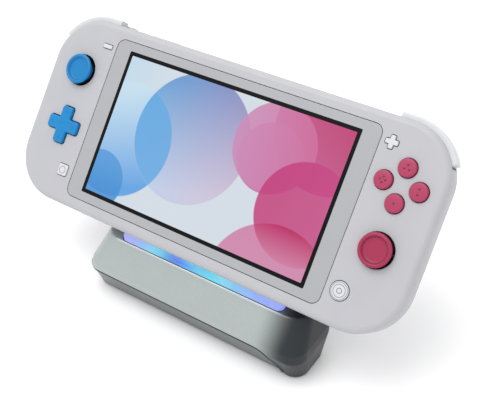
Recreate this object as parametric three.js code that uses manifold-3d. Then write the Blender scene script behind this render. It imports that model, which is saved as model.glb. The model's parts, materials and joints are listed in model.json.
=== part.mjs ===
// A handheld game console with built-in controls, seated on a small charging dock.
// Millimetres, +X to the right, +Y to the back, +Z up. The origin is the middle of the
// bounding box on the floor. The console is modelled in its own frame: x to the right,
// y up its face, z out of its face, with the origin at the middle of the face.
import * as THREE from "three";
import { mergeVertices } from "three/addons/utils/BufferGeometryUtils.js";
import Module from "manifold-3d";

const wasm = await Module();
wasm.setup();

// ---------- driving dimensions ----------
const bodyWidth = 212;
const bodyHeight = 93;
const bodyDepth = 13.9;
const bodyCorner = 24;
const bodyEdge = 3;
const wall = 1.8;
const seamDepth = 4.4;
const fit = 0.3;
const leanBack = 39;

const panelWidth = 142.6;
const panelHeight = 80.8;
const panelCorner = 4;

const stickX = 87;
const leftStickY = 19.5;
const rightStickY = -9.1;
const stickPivot = -6;
const stickHole = 7.9;

const padX = -86;
const padY = -9.1;
const padSpan = 18.5;
const padArm = 6.3;

const faceButtonRadius = 4;
const faceButtons = { a: [95, 19.2], b: [87, 11.4], x: [87, 27], y: [79, 19.2] };

const screwPlaces = [[-74.3, 27], [74.3, 27], [-95, -27], [95, -27]];

const dockMiddle = 9;
const edgeHeight = 38.5;
const edgeBack = -31.6;
const dockTop = 29.6;
const dockFloorGap = 0.8;
const plugDepth = -9.8;

const rad = THREE.MathUtils.degToRad;
const left = -1;
const right = 1;
const halfWidth = bodyWidth / 2;
const halfHeight = bodyHeight / 2;
const cornerX = halfWidth - bodyCorner;
const cornerY = halfHeight - bodyCorner;

// ---------- colours ----------
const shellGrey = { color: 0xc4c5c9, roughness: 0.45, metalness: 0 };
const panelGrey = { color: 0xb2b4b7, roughness: 0.15, metalness: 0 };
const blue = { color: 0x2f8fd6, roughness: 0.4, metalness: 0 };
const pink = { color: 0xc0406f, roughness: 0.35, metalness: 0 };
const white = { color: 0xf0f0f2, roughness: 0.4, metalness: 0 };
const silver = { color: 0xb4bcbc, roughness: 0.35, metalness: 0.6 };
const slate = { color: 0x7c8284, roughness: 0.4, metalness: 0.5 };
const black = { color: 0x1c1d20, roughness: 0.5, metalness: 0 };
const rubber = { color: 0x2a2b2e, roughness: 0.9, metalness: 0 };
const steel = { color: 0xc8cacc, roughness: 0.3, metalness: 1 };
const copper = { color: 0xb87850, roughness: 0.35, metalness: 1 };
const boardGreen = { color: 0x1f5a3c, roughness: 0.6, metalness: 0 };
const glow = { color: 0x9fb4ff, roughness: 0.3, metalness: 0 };
const foil = { color: 0x8d9094, roughness: 0.4, metalness: 0.3 };

// ---------- solids and their joins ----------
function toSolid(geometry) {
  const bare = geometry.clone();
  bare.deleteAttribute("normal");
  bare.deleteAttribute("uv");
  const merged = mergeVertices(bare, 1e-4);
  const vertProperties = new Float32Array(merged.attributes.position.array);
  const triVerts = new Uint32Array(merged.index.array);
  return new wasm.Manifold(new wasm.Mesh({ numProp: 3, vertProperties, triVerts }));
}

function toGeometry(solid) {
  const mesh = solid.getMesh();
  const geometry = new THREE.BufferGeometry();
  geometry.setAttribute("position", new THREE.BufferAttribute(mesh.vertProperties, 3));
  geometry.setIndex(new THREE.BufferAttribute(mesh.triVerts, 1));
  geometry.computeVertexNormals();
  return geometry;
}

function joined(...solids) {
  return solids.reduce((whole, next) => whole.add(next));
}

function cut(solid, ...tools) {
  return tools.reduce((rest, tool) => rest.subtract(tool), solid);
}

// a block between two corners
function block(x0, x1, y0, y1, z0, z1) {
  const box = new THREE.BoxGeometry(x1 - x0, y1 - y0, z1 - z0);
  box.translate((x0 + x1) / 2, (y0 + y1) / 2, (z0 + z1) / 2);
  return toSolid(box);
}

// ---------- outlines ----------
function roundedOutline(width, height, radius, x = 0, y = 0) {
  const shape = new THREE.Shape();
  const a = width / 2 - radius;
  const b = height / 2 - radius;
  shape.absarc(x + a, y + b, radius, 0, Math.PI / 2);
  shape.absarc(x - a, y + b, radius, Math.PI / 2, Math.PI);
  shape.absarc(x - a, y - b, radius, Math.PI, Math.PI * 1.5);
  shape.absarc(x + a, y - b, radius, Math.PI * 1.5, Math.PI * 2);
  shape.closePath();
  return shape;
}

function circleOutline(radius, x = 0, y = 0) {
  return new THREE.Shape().absarc(x, y, radius, 0, Math.PI * 2);
}

function crossOutline(span, arm, x, y) {
  const s = span / 2;
  const a = arm / 2;
  const corners = [
    [s, -a], [s, a], [a, a], [a, s], [-a, s], [-a, a],
    [-s, a], [-s, -a], [-a, -a], [-a, -s], [a, -s], [a, -a],
  ];
  return new THREE.Shape(corners.map(([u, v]) => new THREE.Vector2(x + u, y + v)));
}

// the band that wraps a top corner of the body, from xStart round to an angle on the corner
function cornerBand(side, xStart, endAngle, outward, inward) {
  const path = new THREE.Path();
  path.moveTo(xStart, halfHeight - inward);
  path.lineTo(xStart, halfHeight + outward);
  path.absarc(cornerX, cornerY, bodyCorner + outward, Math.PI / 2, rad(endAngle), true);
  path.absarc(cornerX, cornerY, bodyCorner - inward, rad(endAngle), Math.PI / 2, false);
  const points = path.getPoints(4).map((p) => new THREE.Vector2(side * p.x, p.y));
  return new THREE.Shape(points);
}

// an outline raised from z0 to z1, with its edges rounded by `edge`
function raised(outline, z0, z1, edge = 0, edgeSteps = 2, curveSteps = 3) {
  const geometry = new THREE.ExtrudeGeometry(outline, {
    depth: z1 - z0 - 2 * edge,
    bevelEnabled: edge > 0,
    bevelThickness: edge,
    bevelSize: edge,
    bevelOffset: -edge,
    bevelSegments: edgeSteps,
    curveSegments: curveSteps,
  });
  geometry.translate(0, 0, z0 + edge);
  return toSolid(geometry);
}

function disc(radius, x, y, z0, z1, edge = 0, steps = 24) {
  return raised(circleOutline(radius, x, y), z0, z1, edge, 1, steps / 2);
}

// an outline in x and z, pushed along y from y0 to y1
function pushedBack(outline, y0, y1, curveSteps = 3) {
  const geometry = new THREE.ExtrudeGeometry(outline, {
    depth: y1 - y0, bevelEnabled: false, curveSegments: curveSteps,
  });
  geometry.rotateX(Math.PI / 2);
  geometry.translate(0, y1, 0);
  return toSolid(geometry);
}

// a section in y and z, pushed along x from x0 to x1
function pushedSideways(section, x0, x1) {
  const outline = new THREE.Shape(section.map(([y, z]) => new THREE.Vector2(y, z)));
  const geometry = new THREE.ExtrudeGeometry(outline, {
    depth: x1 - x0, bevelEnabled: false,
  });
  geometry.applyMatrix4(new THREE.Matrix4().set(0, 0, 1, x0, 1, 0, 0, 0, 0, 1, 0, 0, 0, 0, 0, 1));
  return toSolid(geometry);
}

// a pin along x through (x, y, z)
function pinAlongX(radius, x0, x1, y, z, steps = 8) {
  const geometry = new THREE.CylinderGeometry(radius, radius, x1 - x0, steps);
  geometry.rotateZ(Math.PI / 2);
  geometry.translate((x0 + x1) / 2, y, z);
  return toSolid(geometry);
}

function pinAlongY(radius, x, y0, y1, z, steps = 8) {
  const geometry = new THREE.CylinderGeometry(radius, radius, y1 - y0, steps);
  geometry.translate(x, (y0 + y1) / 2, z);
  return toSolid(geometry);
}

// a profile of [radius, z] pairs turned about z at (x, y)
function turned(profile, x, y, steps = 32) {
  const points = profile.map(([r, z]) => new THREE.Vector2(r, z));
  const geometry = new THREE.LatheGeometry(points, steps);
  geometry.rotateX(Math.PI / 2);
  geometry.translate(x, y, 0);
  return toSolid(geometry);
}

// a solid through rounded rectangles stacked from the bottom up, each { z, front, back, half, radius }
function lofted(rings, cornerSteps = 6) {
  const positions = [];
  const perRing = 4 * (cornerSteps + 1);
  for (const ring of rings) {
    const turns = [
      [ring.half - ring.radius, ring.back - ring.radius, 0],
      [-ring.half + ring.radius, ring.back - ring.radius, 90],
      [-ring.half + ring.radius, ring.front + ring.radius, 180],
      [ring.half - ring.radius, ring.front + ring.radius, 270],
    ];
    for (const [cx, cy, from] of turns) {
      for (let step = 0; step <= cornerSteps; step++) {
        const angle = rad(from + (90 * step) / cornerSteps);
        const x = dockMiddle + cx + ring.radius * Math.cos(angle);
        positions.push(x, cy + ring.radius * Math.sin(angle), ring.z);
      }
    }
  }
  const index = [];
  for (let level = 0; level < rings.length - 1; level++) {
    for (let i = 0; i < perRing; i++) {
      const a = level * perRing + i;
      const b = level * perRing + ((i + 1) % perRing);
      index.push(a, b, b + perRing, a, b + perRing, a + perRing);
    }
  }
  const topStart = (rings.length - 1) * perRing;
  for (let i = 1; i < perRing - 1; i++) {
    index.push(0, i + 1, i);
    index.push(topStart, topStart + i, topStart + i + 1);
  }
  const geometry = new THREE.BufferGeometry();
  geometry.setAttribute("position", new THREE.Float32BufferAttribute(positions, 3));
  geometry.setIndex(index);
  return toSolid(geometry);
}

// ---------- groups ----------
const assembly = new THREE.Group();

const dock = new THREE.Group();
dock.position.set(0, edgeBack, 0);
assembly.add(dock);

// the console leans back; its lower front edge stands edgeHeight above the floor
const handheld = new THREE.Group();
handheld.rotation.x = rad(90 - leanBack);
handheld.position.set(
  0,
  edgeBack + Math.sin(rad(leanBack)) * halfHeight,
  edgeHeight + Math.cos(rad(leanBack)) * halfHeight,
);
assembly.add(handheld);

function place(group, name, solid, look) {
  const mesh = new THREE.Mesh(toGeometry(solid), new THREE.MeshStandardMaterial(look));
  mesh.name = name;
  group.add(mesh);
  return mesh;
}

// a solid of the console's frame, as it lies in the dock's frame
function inDockFrame(solid) {
  const geometry = toGeometry(solid);
  handheld.updateMatrix();
  dock.updateMatrix();
  geometry.applyMatrix4(handheld.matrix);
  geometry.applyMatrix4(dock.matrix.clone().invert());
  return toSolid(geometry);
}

// ---------- console: shells ----------
const innerEdge = 1.4;
const frontInside = -wall;
const backOutside = -bodyDepth;
const backInside = -bodyDepth + wall;

const bodySolid = raised(
  roundedOutline(bodyWidth, bodyHeight, bodyCorner), backOutside, 0, bodyEdge, 3, 5,
);
const cavitySolid = raised(
  roundedOutline(bodyWidth - 2 * wall, bodyHeight - 2 * wall, bodyCorner - wall),
  backInside, frontInside, innerEdge, 1, 4,
);
const skin = bodySolid.subtract(cavitySolid);
const beyond = 1;
function slice(z0, z1) {
  return block(-bodyWidth, bodyWidth, -bodyHeight, bodyHeight, z0, z1);
}

const shoulderFront = -2.5;
const shoulderBack = -8.3;
const triggerFront = -8.9;
const triggerBack = -15.6;
const cornerPieces = {
  shoulder: { start: 75.5, end: 27.5, outward: 2.4, inward: 3.2 },
  shoulderRoom: { start: 75, end: 25, outward: 6, inward: 4.4 },
  trigger: { start: 73.2, end: 33, outward: 1.4, inward: 9 },
  triggerRoom: { start: 72.5, end: 30, outward: 6, inward: 10 },
};
function cornerSolid(kind, side, z0, z1, edge) {
  const p = cornerPieces[kind];
  return raised(cornerBand(side, p.start, p.end, p.outward, p.inward), z0, z1, edge, 2);
}

const postRadius = 2.2;
const postEnd = -9.1;
const postBore = 1.1;
let frontShell = skin.intersect(slice(-seamDepth + fit / 2, beyond));
for (const [x, y] of screwPlaces) {
  frontShell = frontShell.add(disc(postRadius, x, y, postEnd, frontInside + 0.3, 0, 12));
}
frontShell = cut(
  frontShell,
  ...screwPlaces.map(([x, y]) => disc(postBore, x, y, postEnd - 1, -4, 0, 10)),
  raised(
    roundedOutline(panelWidth + 2 * fit, panelHeight + 2 * fit, panelCorner + fit),
    -5, beyond,
  ),
  disc(stickHole, -stickX, leftStickY, -3, beyond, 0, 24),
  disc(stickHole, stickX, rightStickY, -3, beyond, 0, 24),
  raised(crossOutline(padSpan + 1, padArm + 1, padX, padY), -3, beyond),
  ...Object.values(faceButtons).map(
    ([x, y]) => disc(faceButtonRadius + fit, x, y, -3, beyond, 0, 16),
  ),
);

// the four small buttons: outline, how far the cap stands out, and the flange behind it
const capHeight = 0.6;
const flangeFront = -2.4;
const flangeBack = -3.1;
const smallButtons = {
  minus_button: {
    x: -76.5, y: 34.6, flange: 3.6,
    outline: (grow) => roundedOutline(5.2 + 2 * grow, 2 + 2 * grow, 0.4 + grow, -76.5, 34.6),
  },
  plus_button: {
    x: 76.6, y: 35, flange: 3.6,
    outline: (grow) => crossOutline(5.8 + 2 * grow, 2.1 + 2 * grow, 76.6, 35),
  },
  capture_button: {
    x: -77.4, y: -30.2, flange: 4.2,
    outline: (grow) => roundedOutline(5.6 + 2 * grow, 5.6 + 2 * grow, 0.8 + grow, -77.4, -30.2),
  },
  home_button: {
    x: 78.3, y: -30.6, flange: 5, steps: 8,
    outline: (grow) => circleOutline(4.15 + grow, 78.3, -30.6),
  },
};
for (const button of Object.values(smallButtons)) {
  frontShell = frontShell.subtract(raised(button.outline(fit), -3, beyond, 0, 1, button.steps ?? 2));
}
for (const side of [left, right]) {
  frontShell = frontShell.subtract(
    cornerSolid("shoulderRoom", side, shoulderBack - 0.5, shoulderFront + 0.4),
  );
}
place(handheld, "front_shell", frontShell, shellGrey);

// the back half: wall openings for the keys, covers, vents and sockets of the edges
const powerKey = { x: -64, half: 3, front: -5.6, back: -8.4 };
const volumeKey = { x: -50, half: 8, front: -5.6, back: -8.4 };
const cardCover = { x: 53, half: 12, front: -5.6, back: -10.6 };
const memoryCover = { x: -70, half: 7, front: -5.4, back: -9.8 };
const jackX = 34;
const jackDepth = -9;
const ventCount = 12;
const ventPitch = 2.8;
const slotCount = 5;
const slotPitch = 2.6;
const speakerX = 59;

let rearShell = skin.intersect(slice(-bodyDepth - beyond, -seamDepth - fit / 2));
for (const [x, y] of screwPlaces) {
  rearShell = rearShell.add(disc(3, x, y, backInside - 0.3, -9.5, 0, 14));
}
rearShell = cut(
  rearShell,
  ...screwPlaces.map(([x, y]) => disc(1.2, x, y, -15, -9, 0, 10)),
  ...screwPlaces.map(([x, y]) => disc(2.1, x, y, -15, -12.6, 0, 14)),
);
for (const key of [powerKey, volumeKey]) {
  rearShell = rearShell.subtract(block(
    key.x - key.half - 0.4, key.x + key.half + 0.4, 40, 50, key.back - 0.4, key.front + 0.4,
  ));
}
rearShell = cut(
  rearShell,
  block(
    cardCover.x - cardCover.half - fit, cardCover.x + cardCover.half + fit,
    42, 50, cardCover.back - fit, cardCover.front + fit,
  ),
  block(
    memoryCover.x - memoryCover.half - fit, memoryCover.x + memoryCover.half + fit,
    -50, -42, memoryCover.back - fit, memoryCover.front + fit,
  ),
  pinAlongY(1.9, jackX, 42, 50, jackDepth, 16),
  pushedBack(roundedOutline(10.2, 4.6, 2.2, 0, plugDepth), -50, -42.5),
);
for (let i = 0; i < ventCount; i++) {
  const x = (i - (ventCount - 1) / 2) * ventPitch;
  rearShell = rearShell.subtract(block(x - 0.7, x + 0.7, 40, 50, -10.6, -6.2));
}
for (const side of [left, right]) {
  for (let i = 0; i < slotCount; i++) {
    const x = side * (speakerX + (i - (slotCount - 1) / 2) * slotPitch);
    if (side === left && x < -62.5) continue;
    rearShell = rearShell.subtract(block(x - 0.6, x + 0.6, -50, -42, -10, -6.8));
  }
  rearShell = cut(
    rearShell,
    cornerSolid("shoulderRoom", side, shoulderBack - 0.4, shoulderFront + 1),
    cornerSolid("triggerRoom", side, -20, triggerFront + 0.4),
  );
}
const intakeCount = 9;
for (let i = 0; i < intakeCount; i++) {
  const x = (i - (intakeCount - 1) / 2) * 3.2;
  rearShell = rearShell.subtract(raised(roundedOutline(1.4, 8, 0.7, x, 30), -15, -11, 0, 1, 1));
}
place(handheld, "rear_shell", rearShell, shellGrey);

const screwHead = turned(
  [[0, -13.5], [1.5, -13.5], [1.75, -13.2], [1.75, -12.9], [0.8, -12.9], [0.8, -5], [0, -5]],
  0, 0, 10,
);
screwPlaces.forEach(([x, y], i) => {
  const slotAcross = block(-1, 1, -0.2, 0.2, -14, -13.1);
  const slotUp = block(-0.2, 0.2, -1, 1, -14, -13.1);
  const screw = place(handheld, `shell_screw_${i + 1}`, cut(screwHead, slotAcross, slotUp), steel);
  screw.position.set(x, y, 0);
});

// ---------- console: screen and the pieces behind it ----------
place(handheld, "screen_panel", raised(
  roundedOutline(panelWidth, panelHeight, panelCorner), -1.25, -0.05, 0.3, 1,
), panelGrey);
place(handheld, "display_module", raised(
  roundedOutline(136, 76, 1.5), -3.8, -1.6, 0, 1, 2,
), black);

let midFrame = raised(roundedOutline(141, 79.5, 3), -5.2, -4.2, 0, 1, 2);
for (const x of [-46, -16, 16, 46]) {
  for (const y of [-26, 26]) {
    midFrame = midFrame.subtract(raised(roundedOutline(18, 14, 3, x, y), -6, -4, 0, 1, 1));
  }
}
place(handheld, "mid_frame", midFrame, steel);

const cell = { x: -38.5, width: 55, height: 68, corner: 3, back: -11.6, front: -5.6, edge: 0.6 };
place(handheld, "battery", raised(
  roundedOutline(cell.width, cell.height, cell.corner, cell.x), cell.back, cell.front, cell.edge, 1, 2,
), foil);

const board = { x: 30, width: 76, height: 80, corner: 2, back: -7, front: -6.2 };
const boardHole = { fromMiddleX: 35, y: 37, radius: 1.2 };
let mainBoard = raised(
  roundedOutline(board.width, board.height, board.corner, board.x), board.back, board.front, 0, 1, 1,
);
for (const side of [left, right]) {
  for (const y of [-boardHole.y, boardHole.y]) {
    const x = board.x + side * boardHole.fromMiddleX;
    mainBoard = mainBoard.subtract(
      disc(boardHole.radius, x, y, board.back - beyond, board.front + beyond, 0, 10),
    );
  }
}
place(handheld, "main_board", mainBoard, boardGreen);

const sink = { x0: 12, x1: 60, y0: -12, y1: 6, front: -7.4, back: -8.4 };
const fin = { count: 9, pitch: 5.9, width: 0.8, back: -10.8 };
let heatSink = block(sink.x0, sink.x1, sink.y0, sink.y1, sink.back, sink.front);
for (let i = 0; i < fin.count; i++) {
  const x = sink.x0 + i * fin.pitch;
  heatSink = heatSink.add(block(x, x + fin.width, sink.y0, sink.y1, fin.back, sink.front - 0.5));
}
place(handheld, "heat_sink", heatSink, copper);

const fan = { x: 12, y: 25, half: 15, back: -11.7, front: -7.5, bore: 13.6, floor: -8.5, outlet: 10 };
const fanHousing = cut(
  block(fan.x - fan.half, fan.x + fan.half, fan.y - fan.half, fan.y + fan.half, fan.back, fan.front),
  disc(fan.bore, fan.x, fan.y, fan.back - beyond, fan.floor, 0, 28),
  block(
    fan.x - fan.outlet, fan.x + fan.outlet, fan.y, fan.y + fan.half + beyond,
    fan.back + beyond, fan.floor,
  ),
);
place(handheld, "fan_housing", fanHousing, black);
const hub = { radius: 4.5, back: -11.4, front: -8.9 };
const blade = { count: 9, length: 9, thick: 0.8, deep: 2.4, reach: 8.4 };
let fanRotor = disc(hub.radius, fan.x, fan.y, hub.back, hub.front, 0, 16);
for (let i = 0; i < blade.count; i++) {
  const vane = new THREE.BoxGeometry(blade.length, blade.thick, blade.deep);
  vane.translate(blade.reach, 0, (hub.back + hub.front) / 2);
  vane.rotateZ((i * Math.PI * 2) / blade.count);
  vane.translate(fan.x, fan.y, 0);
  fanRotor = fanRotor.add(toSolid(vane));
}
place(handheld, "fan_rotor", fanRotor, black);

const reader = cut(
  block(41.5, 64.5, 8, 42, -11.2, -7.4),
  block(42.8, 63.2, 12, 43, -10.2, -8.4),
);
place(handheld, "game_card_reader", reader, steel);
const jack = cut(
  block(jackX - 3.2, jackX + 3.2, 30, halfHeight - 2.75, -11.3, -7.4),
  pinAlongY(1.75, jackX, 32, halfHeight, jackDepth, 16),
);
place(handheld, "headphone_jack", jack, black);

for (const side of [left, right]) {
  const name = side === left ? "left_speaker" : "right_speaker";
  const x = side * speakerX;
  place(handheld, name, cut(
    block(x - 9, x + 9, -42.8, -35, -11.2, -7.4),
    raised(roundedOutline(14, 5, 2.4, x, -39), -12, -10.2, 0, 1, 2),
  ), black);
}

// charging socket: a flat tube with a tongue in its middle
const socketOutline = roundedOutline(9.6, 4, 1.95, 0, plugDepth);
const socketMouth = roundedOutline(8.9, 3.2, 1.55, 0, plugDepth);
const socketFront = 0.35 - halfHeight;
const socketBack = socketFront + 7.4;
const tongue = { half: 3.3, thick: 0.7 };
const chargeSocket = joined(
  cut(
    pushedBack(socketOutline, socketFront, socketBack),
    pushedBack(socketMouth, socketFront - beyond, socketBack - 0.8),
  ),
  block(
    -tongue.half, tongue.half, socketFront + 1, socketBack - 0.4,
    plugDepth - tongue.thick / 2, plugDepth + tongue.thick / 2,
  ),
);
place(handheld, "charge_socket", chargeSocket, steel);

// ---------- console: sticks ----------
// Each stick tips about x on its yoke, about y on its shaft, and its cap clicks down the shaft.
const domeRadius = 5.6;
const domeRim = 3.2;
const stemRadius = 3.3;
function stickCapProfile() {
  const profile = [[0, 1.7], [2.2, 1.7], [2.2, stickPivot + domeRim]];
  const rimAngle = Math.asin(domeRim / domeRadius);
  const stemAngle = Math.acos(stemRadius / domeRadius);
  const domeSteps = 2;
  for (let i = 0; i <= domeSteps; i++) {
    const angle = rimAngle + ((stemAngle - rimAngle) * i) / domeSteps;
    profile.push([domeRadius * Math.cos(angle), stickPivot + domeRadius * Math.sin(angle)]);
  }
  profile.push([stemRadius, 0.9], [4.4, 1.3], [6.3, 2], [7.1, 2.3], [7.5, 2.7], [7.2, 3.4]);
  profile.push([6.5, 3.6], [5.7, 3.35], [3, 3.05], [0, 2.95]);
  return profile;
}

function addStick(prefix, x, y, look) {
  const stick = new THREE.Group();
  stick.position.set(x, y, 0);
  handheld.add(stick);
  const base = cut(
    block(-8.5, 8.5, -8.5, 8.5, -11.7, -4.6),
    block(-7.3, 7.3, -7.3, 7.3, -10.5, -4),
    pinAlongX(1, -10, 10, 0, stickPivot),
  );
  place(stick, `${prefix}_base`, base, black);
  const yoke = cut(
    joined(
      disc(4.6, 0, 0, stickPivot - 1.2, stickPivot + 1.2, 0, 16),
      pinAlongX(0.7, -7.9, 7.9, 0, stickPivot),
    ),
    disc(3, 0, 0, -9, -3, 0, 12),
    pinAlongY(0.8, 0, -6, 6, stickPivot),
  );
  place(stick, `${prefix}_yoke`, yoke, steel);
  const shaft = joined(
    disc(1.8, 0, 0, -8.2, 0.8, 0, 12),
    pinAlongY(0.5, 0, -4.2, 4.2, stickPivot),
  );
  place(stick, `${prefix}_shaft`, shaft, white);
  place(stick, `${prefix}_cap`, turned(stickCapProfile(), 0, 0, 24), look);
}
addStick("left_stick", -stickX, leftStickY, blue);
addStick("right_stick", stickX, rightStickY, pink);

// ---------- console: direction pad and buttons ----------
const padCross = raised(crossOutline(padSpan, padArm, padX, padY), -3.4, 1.6, 0.5, 2);
const padFlange = disc(9.8, padX, padY, -3.5, -2.8, 0, 24);
place(handheld, "d_pad", joined(padCross, padFlange), blue);
place(handheld, "d_pad_rubber", cut(
  disc(9.2, padX, padY, -4.9, -4.1, 0, 20),
  disc(1.5, padX, padY, -6, -4, 0, 10),
), rubber);

for (const [letter, [x, y]] of Object.entries(faceButtons)) {
  const button = joined(
    disc(faceButtonRadius, x, y, -3.3, 1.5, 0.5, 16),
    disc(4.9, x, y, -3.3, -2.5, 0, 16),
  );
  place(handheld, `button_${letter}`, button, pink);
}
let membrane = disc(12, 87, 19.2, -6.1, -5.5, 0, 28);
for (const [x, y] of Object.values(faceButtons)) {
  membrane = membrane.add(disc(2.6, x, y, -5.6, -4.7, 0, 14));
}
place(handheld, "face_button_membrane", membrane.subtract(disc(2, 87, 19.2, -7, -5, 0, 12)), rubber);

for (const [name, button] of Object.entries(smallButtons)) {
  const cap = raised(button.outline(0), flangeBack, capHeight, 0.3, 1, button.steps ?? 2);
  const flange = disc(button.flange, button.x, button.y, flangeBack, flangeFront, 0, 16);
  place(handheld, name, joined(cap, flange), white);
}

// ---------- console: edge keys and covers ----------
for (const side of [left, right]) {
  const word = side === left ? "left" : "right";
  place(handheld, `${word}_shoulder`,
    cornerSolid("shoulder", side, shoulderBack, shoulderFront, 0.6), white);
  place(handheld, `${word}_trigger`,
    cornerSolid("trigger", side, triggerBack, triggerFront, 1.2), white);
}

const keyTop = halfHeight + 0.45;
const keyBottom = halfHeight - 2.95;
for (const [name, key] of Object.entries({ power_button: powerKey, volume_rocker: volumeKey })) {
  place(handheld, name, block(
    key.x - key.half, key.x + key.half, keyBottom, keyTop, key.back, key.front,
  ), shellGrey);
}
const coverThickness = 1.4;
place(handheld, "game_card_cover", block(
  cardCover.x - cardCover.half, cardCover.x + cardCover.half,
  halfHeight - coverThickness, halfHeight, cardCover.back, cardCover.front,
), shellGrey);
place(handheld, "memory_card_cover", block(
  memoryCover.x - memoryCover.half, memoryCover.x + memoryCover.half,
  -halfHeight, -halfHeight + coverThickness, memoryCover.back, memoryCover.front,
), shellGrey);

// ---------- dock: housing ----------
// The front slopes like the console's face down to a bend, then tucks under to the floor.
const dockRings = [
  { z: dockFloorGap, front: -3.4, back: 21, half: 60.5, radius: 7 },
  { z: 12.5, front: -7.6, back: 26, half: 61.5, radius: 8 },
  { z: 16.9, front: -7.15, back: 28, half: 61, radius: 8.5 },
  { z: dockTop, front: 3.1, back: 30, half: 57.5, radius: 11 },
];
function insetRings(inset, bottom, top) {
  return dockRings.map((ring, i) => ({
    z: i === 0 ? bottom : i === dockRings.length - 1 ? top : ring.z,
    front: ring.front + inset,
    back: ring.back - inset,
    half: ring.half - inset,
    radius: ring.radius - inset,
  }));
}
const dockWall = 2.2;
const housingBlock = lofted(dockRings);
const housingRoom = lofted(insetRings(dockWall, -1, dockTop - 2));

const tail = { half: 34, front: 17, back: 59, top: 9.6, corner: 10 };
function tailSlab(inset, z0, z1, edge, front = tail.front) {
  const outline = roundedOutline(
    2 * (tail.half - inset), tail.back - front - 2 * inset, tail.corner - inset,
    dockMiddle, (tail.back + front) / 2,
  );
  return raised(outline, z0, z1, edge, 2, 3);
}
const aboveFeet = block(-80, 100, -20, 80, dockFloorGap, 60);
const tailBlock = tailSlab(0, -3, tail.top, 1.6).intersect(aboveFeet);
const tailRoom = tailSlab(dockWall, -3, tail.top - 1.8, 0, tail.front - 8);

// the opening for the dark fascia, arched down to the floor at its right end only
const arch = { left: -70, bottom: -1, top: 14.4, bendStart: 46, bendPull: 58, bendEnd: 62.5, back: 6 };
function fasciaOpening(grow) {
  const archTop = arch.top + grow;
  const shape = new THREE.Shape();
  shape.moveTo(arch.left, arch.bottom);
  shape.lineTo(arch.left, archTop);
  shape.lineTo(arch.bendStart, archTop);
  shape.quadraticCurveTo(arch.bendPull + grow, archTop, arch.bendEnd + grow, arch.bottom);
  shape.closePath();
  return pushedBack(shape, -15, arch.back + grow, 5);
}

const strip = { x0: -37, x1: 54, front: 3.9, back: 10.2, bottom: 25.9 };
const stripX = (strip.x0 + strip.x1) / 2;
const stripY = (strip.front + strip.back) / 2;
function stripSolid(grow, z0, z1) {
  const width = strip.x1 - strip.x0 + 2 * grow;
  const depth = strip.back - strip.front + 2 * grow;
  return raised(roundedOutline(width, depth, depth / 2 - 0.01, stripX, stripY), z0, z1, 0, 1, 4);
}
const inletZ = 5.2;
const inletOutline = roundedOutline(9.6, 4, 1.95, dockMiddle, inletZ);
const dockShell = cut(
  joined(housingBlock, tailBlock),
  housingRoom,
  tailRoom,
  fasciaOpening(0),
  stripSolid(fit, 24.5, 40),
  pushedBack(roundedOutline(10.2, 4.6, 2.25, dockMiddle, inletZ), 55, 62),
);
place(dock, "dock_shell", dockShell, silver);

const fasciaOuter = lofted(insetRings(1, dockFloorGap + 0.4, dockTop - 1));
const fasciaInner = lofted(insetRings(3.2, dockFloorGap - 1, dockTop - 4));
const fascia = fasciaOuter.subtract(fasciaInner).intersect(fasciaOpening(-fit));
place(dock, "dock_fascia", fascia, slate);

const footRadius = 4.5;
const feet = [[-48, 5], [48, 5], [-24, 49], [24, 49]];
const basePlate = cut(
  joined(
    raised(roundedOutline(112, 17.6, 7, dockMiddle, 8.3), dockFloorGap, 2.6, 0, 1, 3),
    raised(roundedOutline(62.6, 46, 7, dockMiddle, 33.2), dockFloorGap, 2.6, 0, 1, 3),
  ),
  ...feet.map(([x, y]) => disc(footRadius + 0.4, dockMiddle + x, y, 0, 1.9, 0, 16)),
);
place(dock, "dock_base_plate", basePlate, slate);
feet.forEach(([x, y], i) => {
  const foot = place(dock, `dock_foot_${i + 1}`, disc(footRadius, 0, 0, 0, 1.6, 0.3, 16), rubber);
  foot.position.set(dockMiddle + x, y, 0);
});

// ---------- dock: light strip, plug and boards ----------
const seatGap = 0.55;
const aboveSeat = inDockFrame(block(-120, 120, -halfHeight - seatGap, 60, -60, 60));
const stripFront = pushedSideways([[0, 29.2], [3.5, 29.2], [10, 36], [10, 60], [0, 60]], -60, 80);
const plugBlock = { half: 5.5, front: 5, back: 9.9 };
const lightBar = cut(
  stripSolid(0, strip.bottom, 34),
  aboveSeat,
  stripFront,
  block(-plugBlock.half - 0.4, plugBlock.half + 0.4, plugBlock.front - 0.35, 20, 20, 40),
);
place(dock, "light_bar", lightBar, glow);

const plugBody = cut(
  block(-plugBlock.half, plugBlock.half, plugBlock.front, plugBlock.back, 22.5, 36),
  aboveSeat,
);
const plugTip = 6.35 - halfHeight;
const plugTongueRoom = block(-3.6, 3.6, plugTip - 5.8, plugTip + 1, plugDepth - 0.65, plugDepth + 0.65);
const plugShell = cut(
  pushedBack(roundedOutline(8.3, 2.6, 1.28, 0, plugDepth), plugTip - 8.2, plugTip),
  plugTongueRoom,
);
place(dock, "charge_plug", joined(plugBody, inDockFrame(plugShell)), glow);

place(dock, "led_board", cut(
  block(-36, 53, 5.4, 12, 24.4, 25.4),
  block(-6, 6, 0, 10.4, 20, 30),
), boardGreen);
place(dock, "dock_board", cut(
  raised(roundedOutline(70, 15, 1.5, dockMiddle, 8.5), 6, 7.2, 0, 1, 1),
  ...[-30, 30].map((x) => disc(1.2, dockMiddle + x, 8.5, 5, 9, 0, 10)),
), boardGreen);
place(dock, "power_inlet", joined(
  cut(
    pushedBack(inletOutline, 51, 58.4),
    pushedBack(roundedOutline(8.9, 3.2, 1.55, dockMiddle, inletZ), 51.8, 60),
  ),
  block(dockMiddle - 3.3, dockMiddle + 3.3, 51.4, 57.6, inletZ - 0.35, inletZ + 0.35),
), steel);

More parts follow.
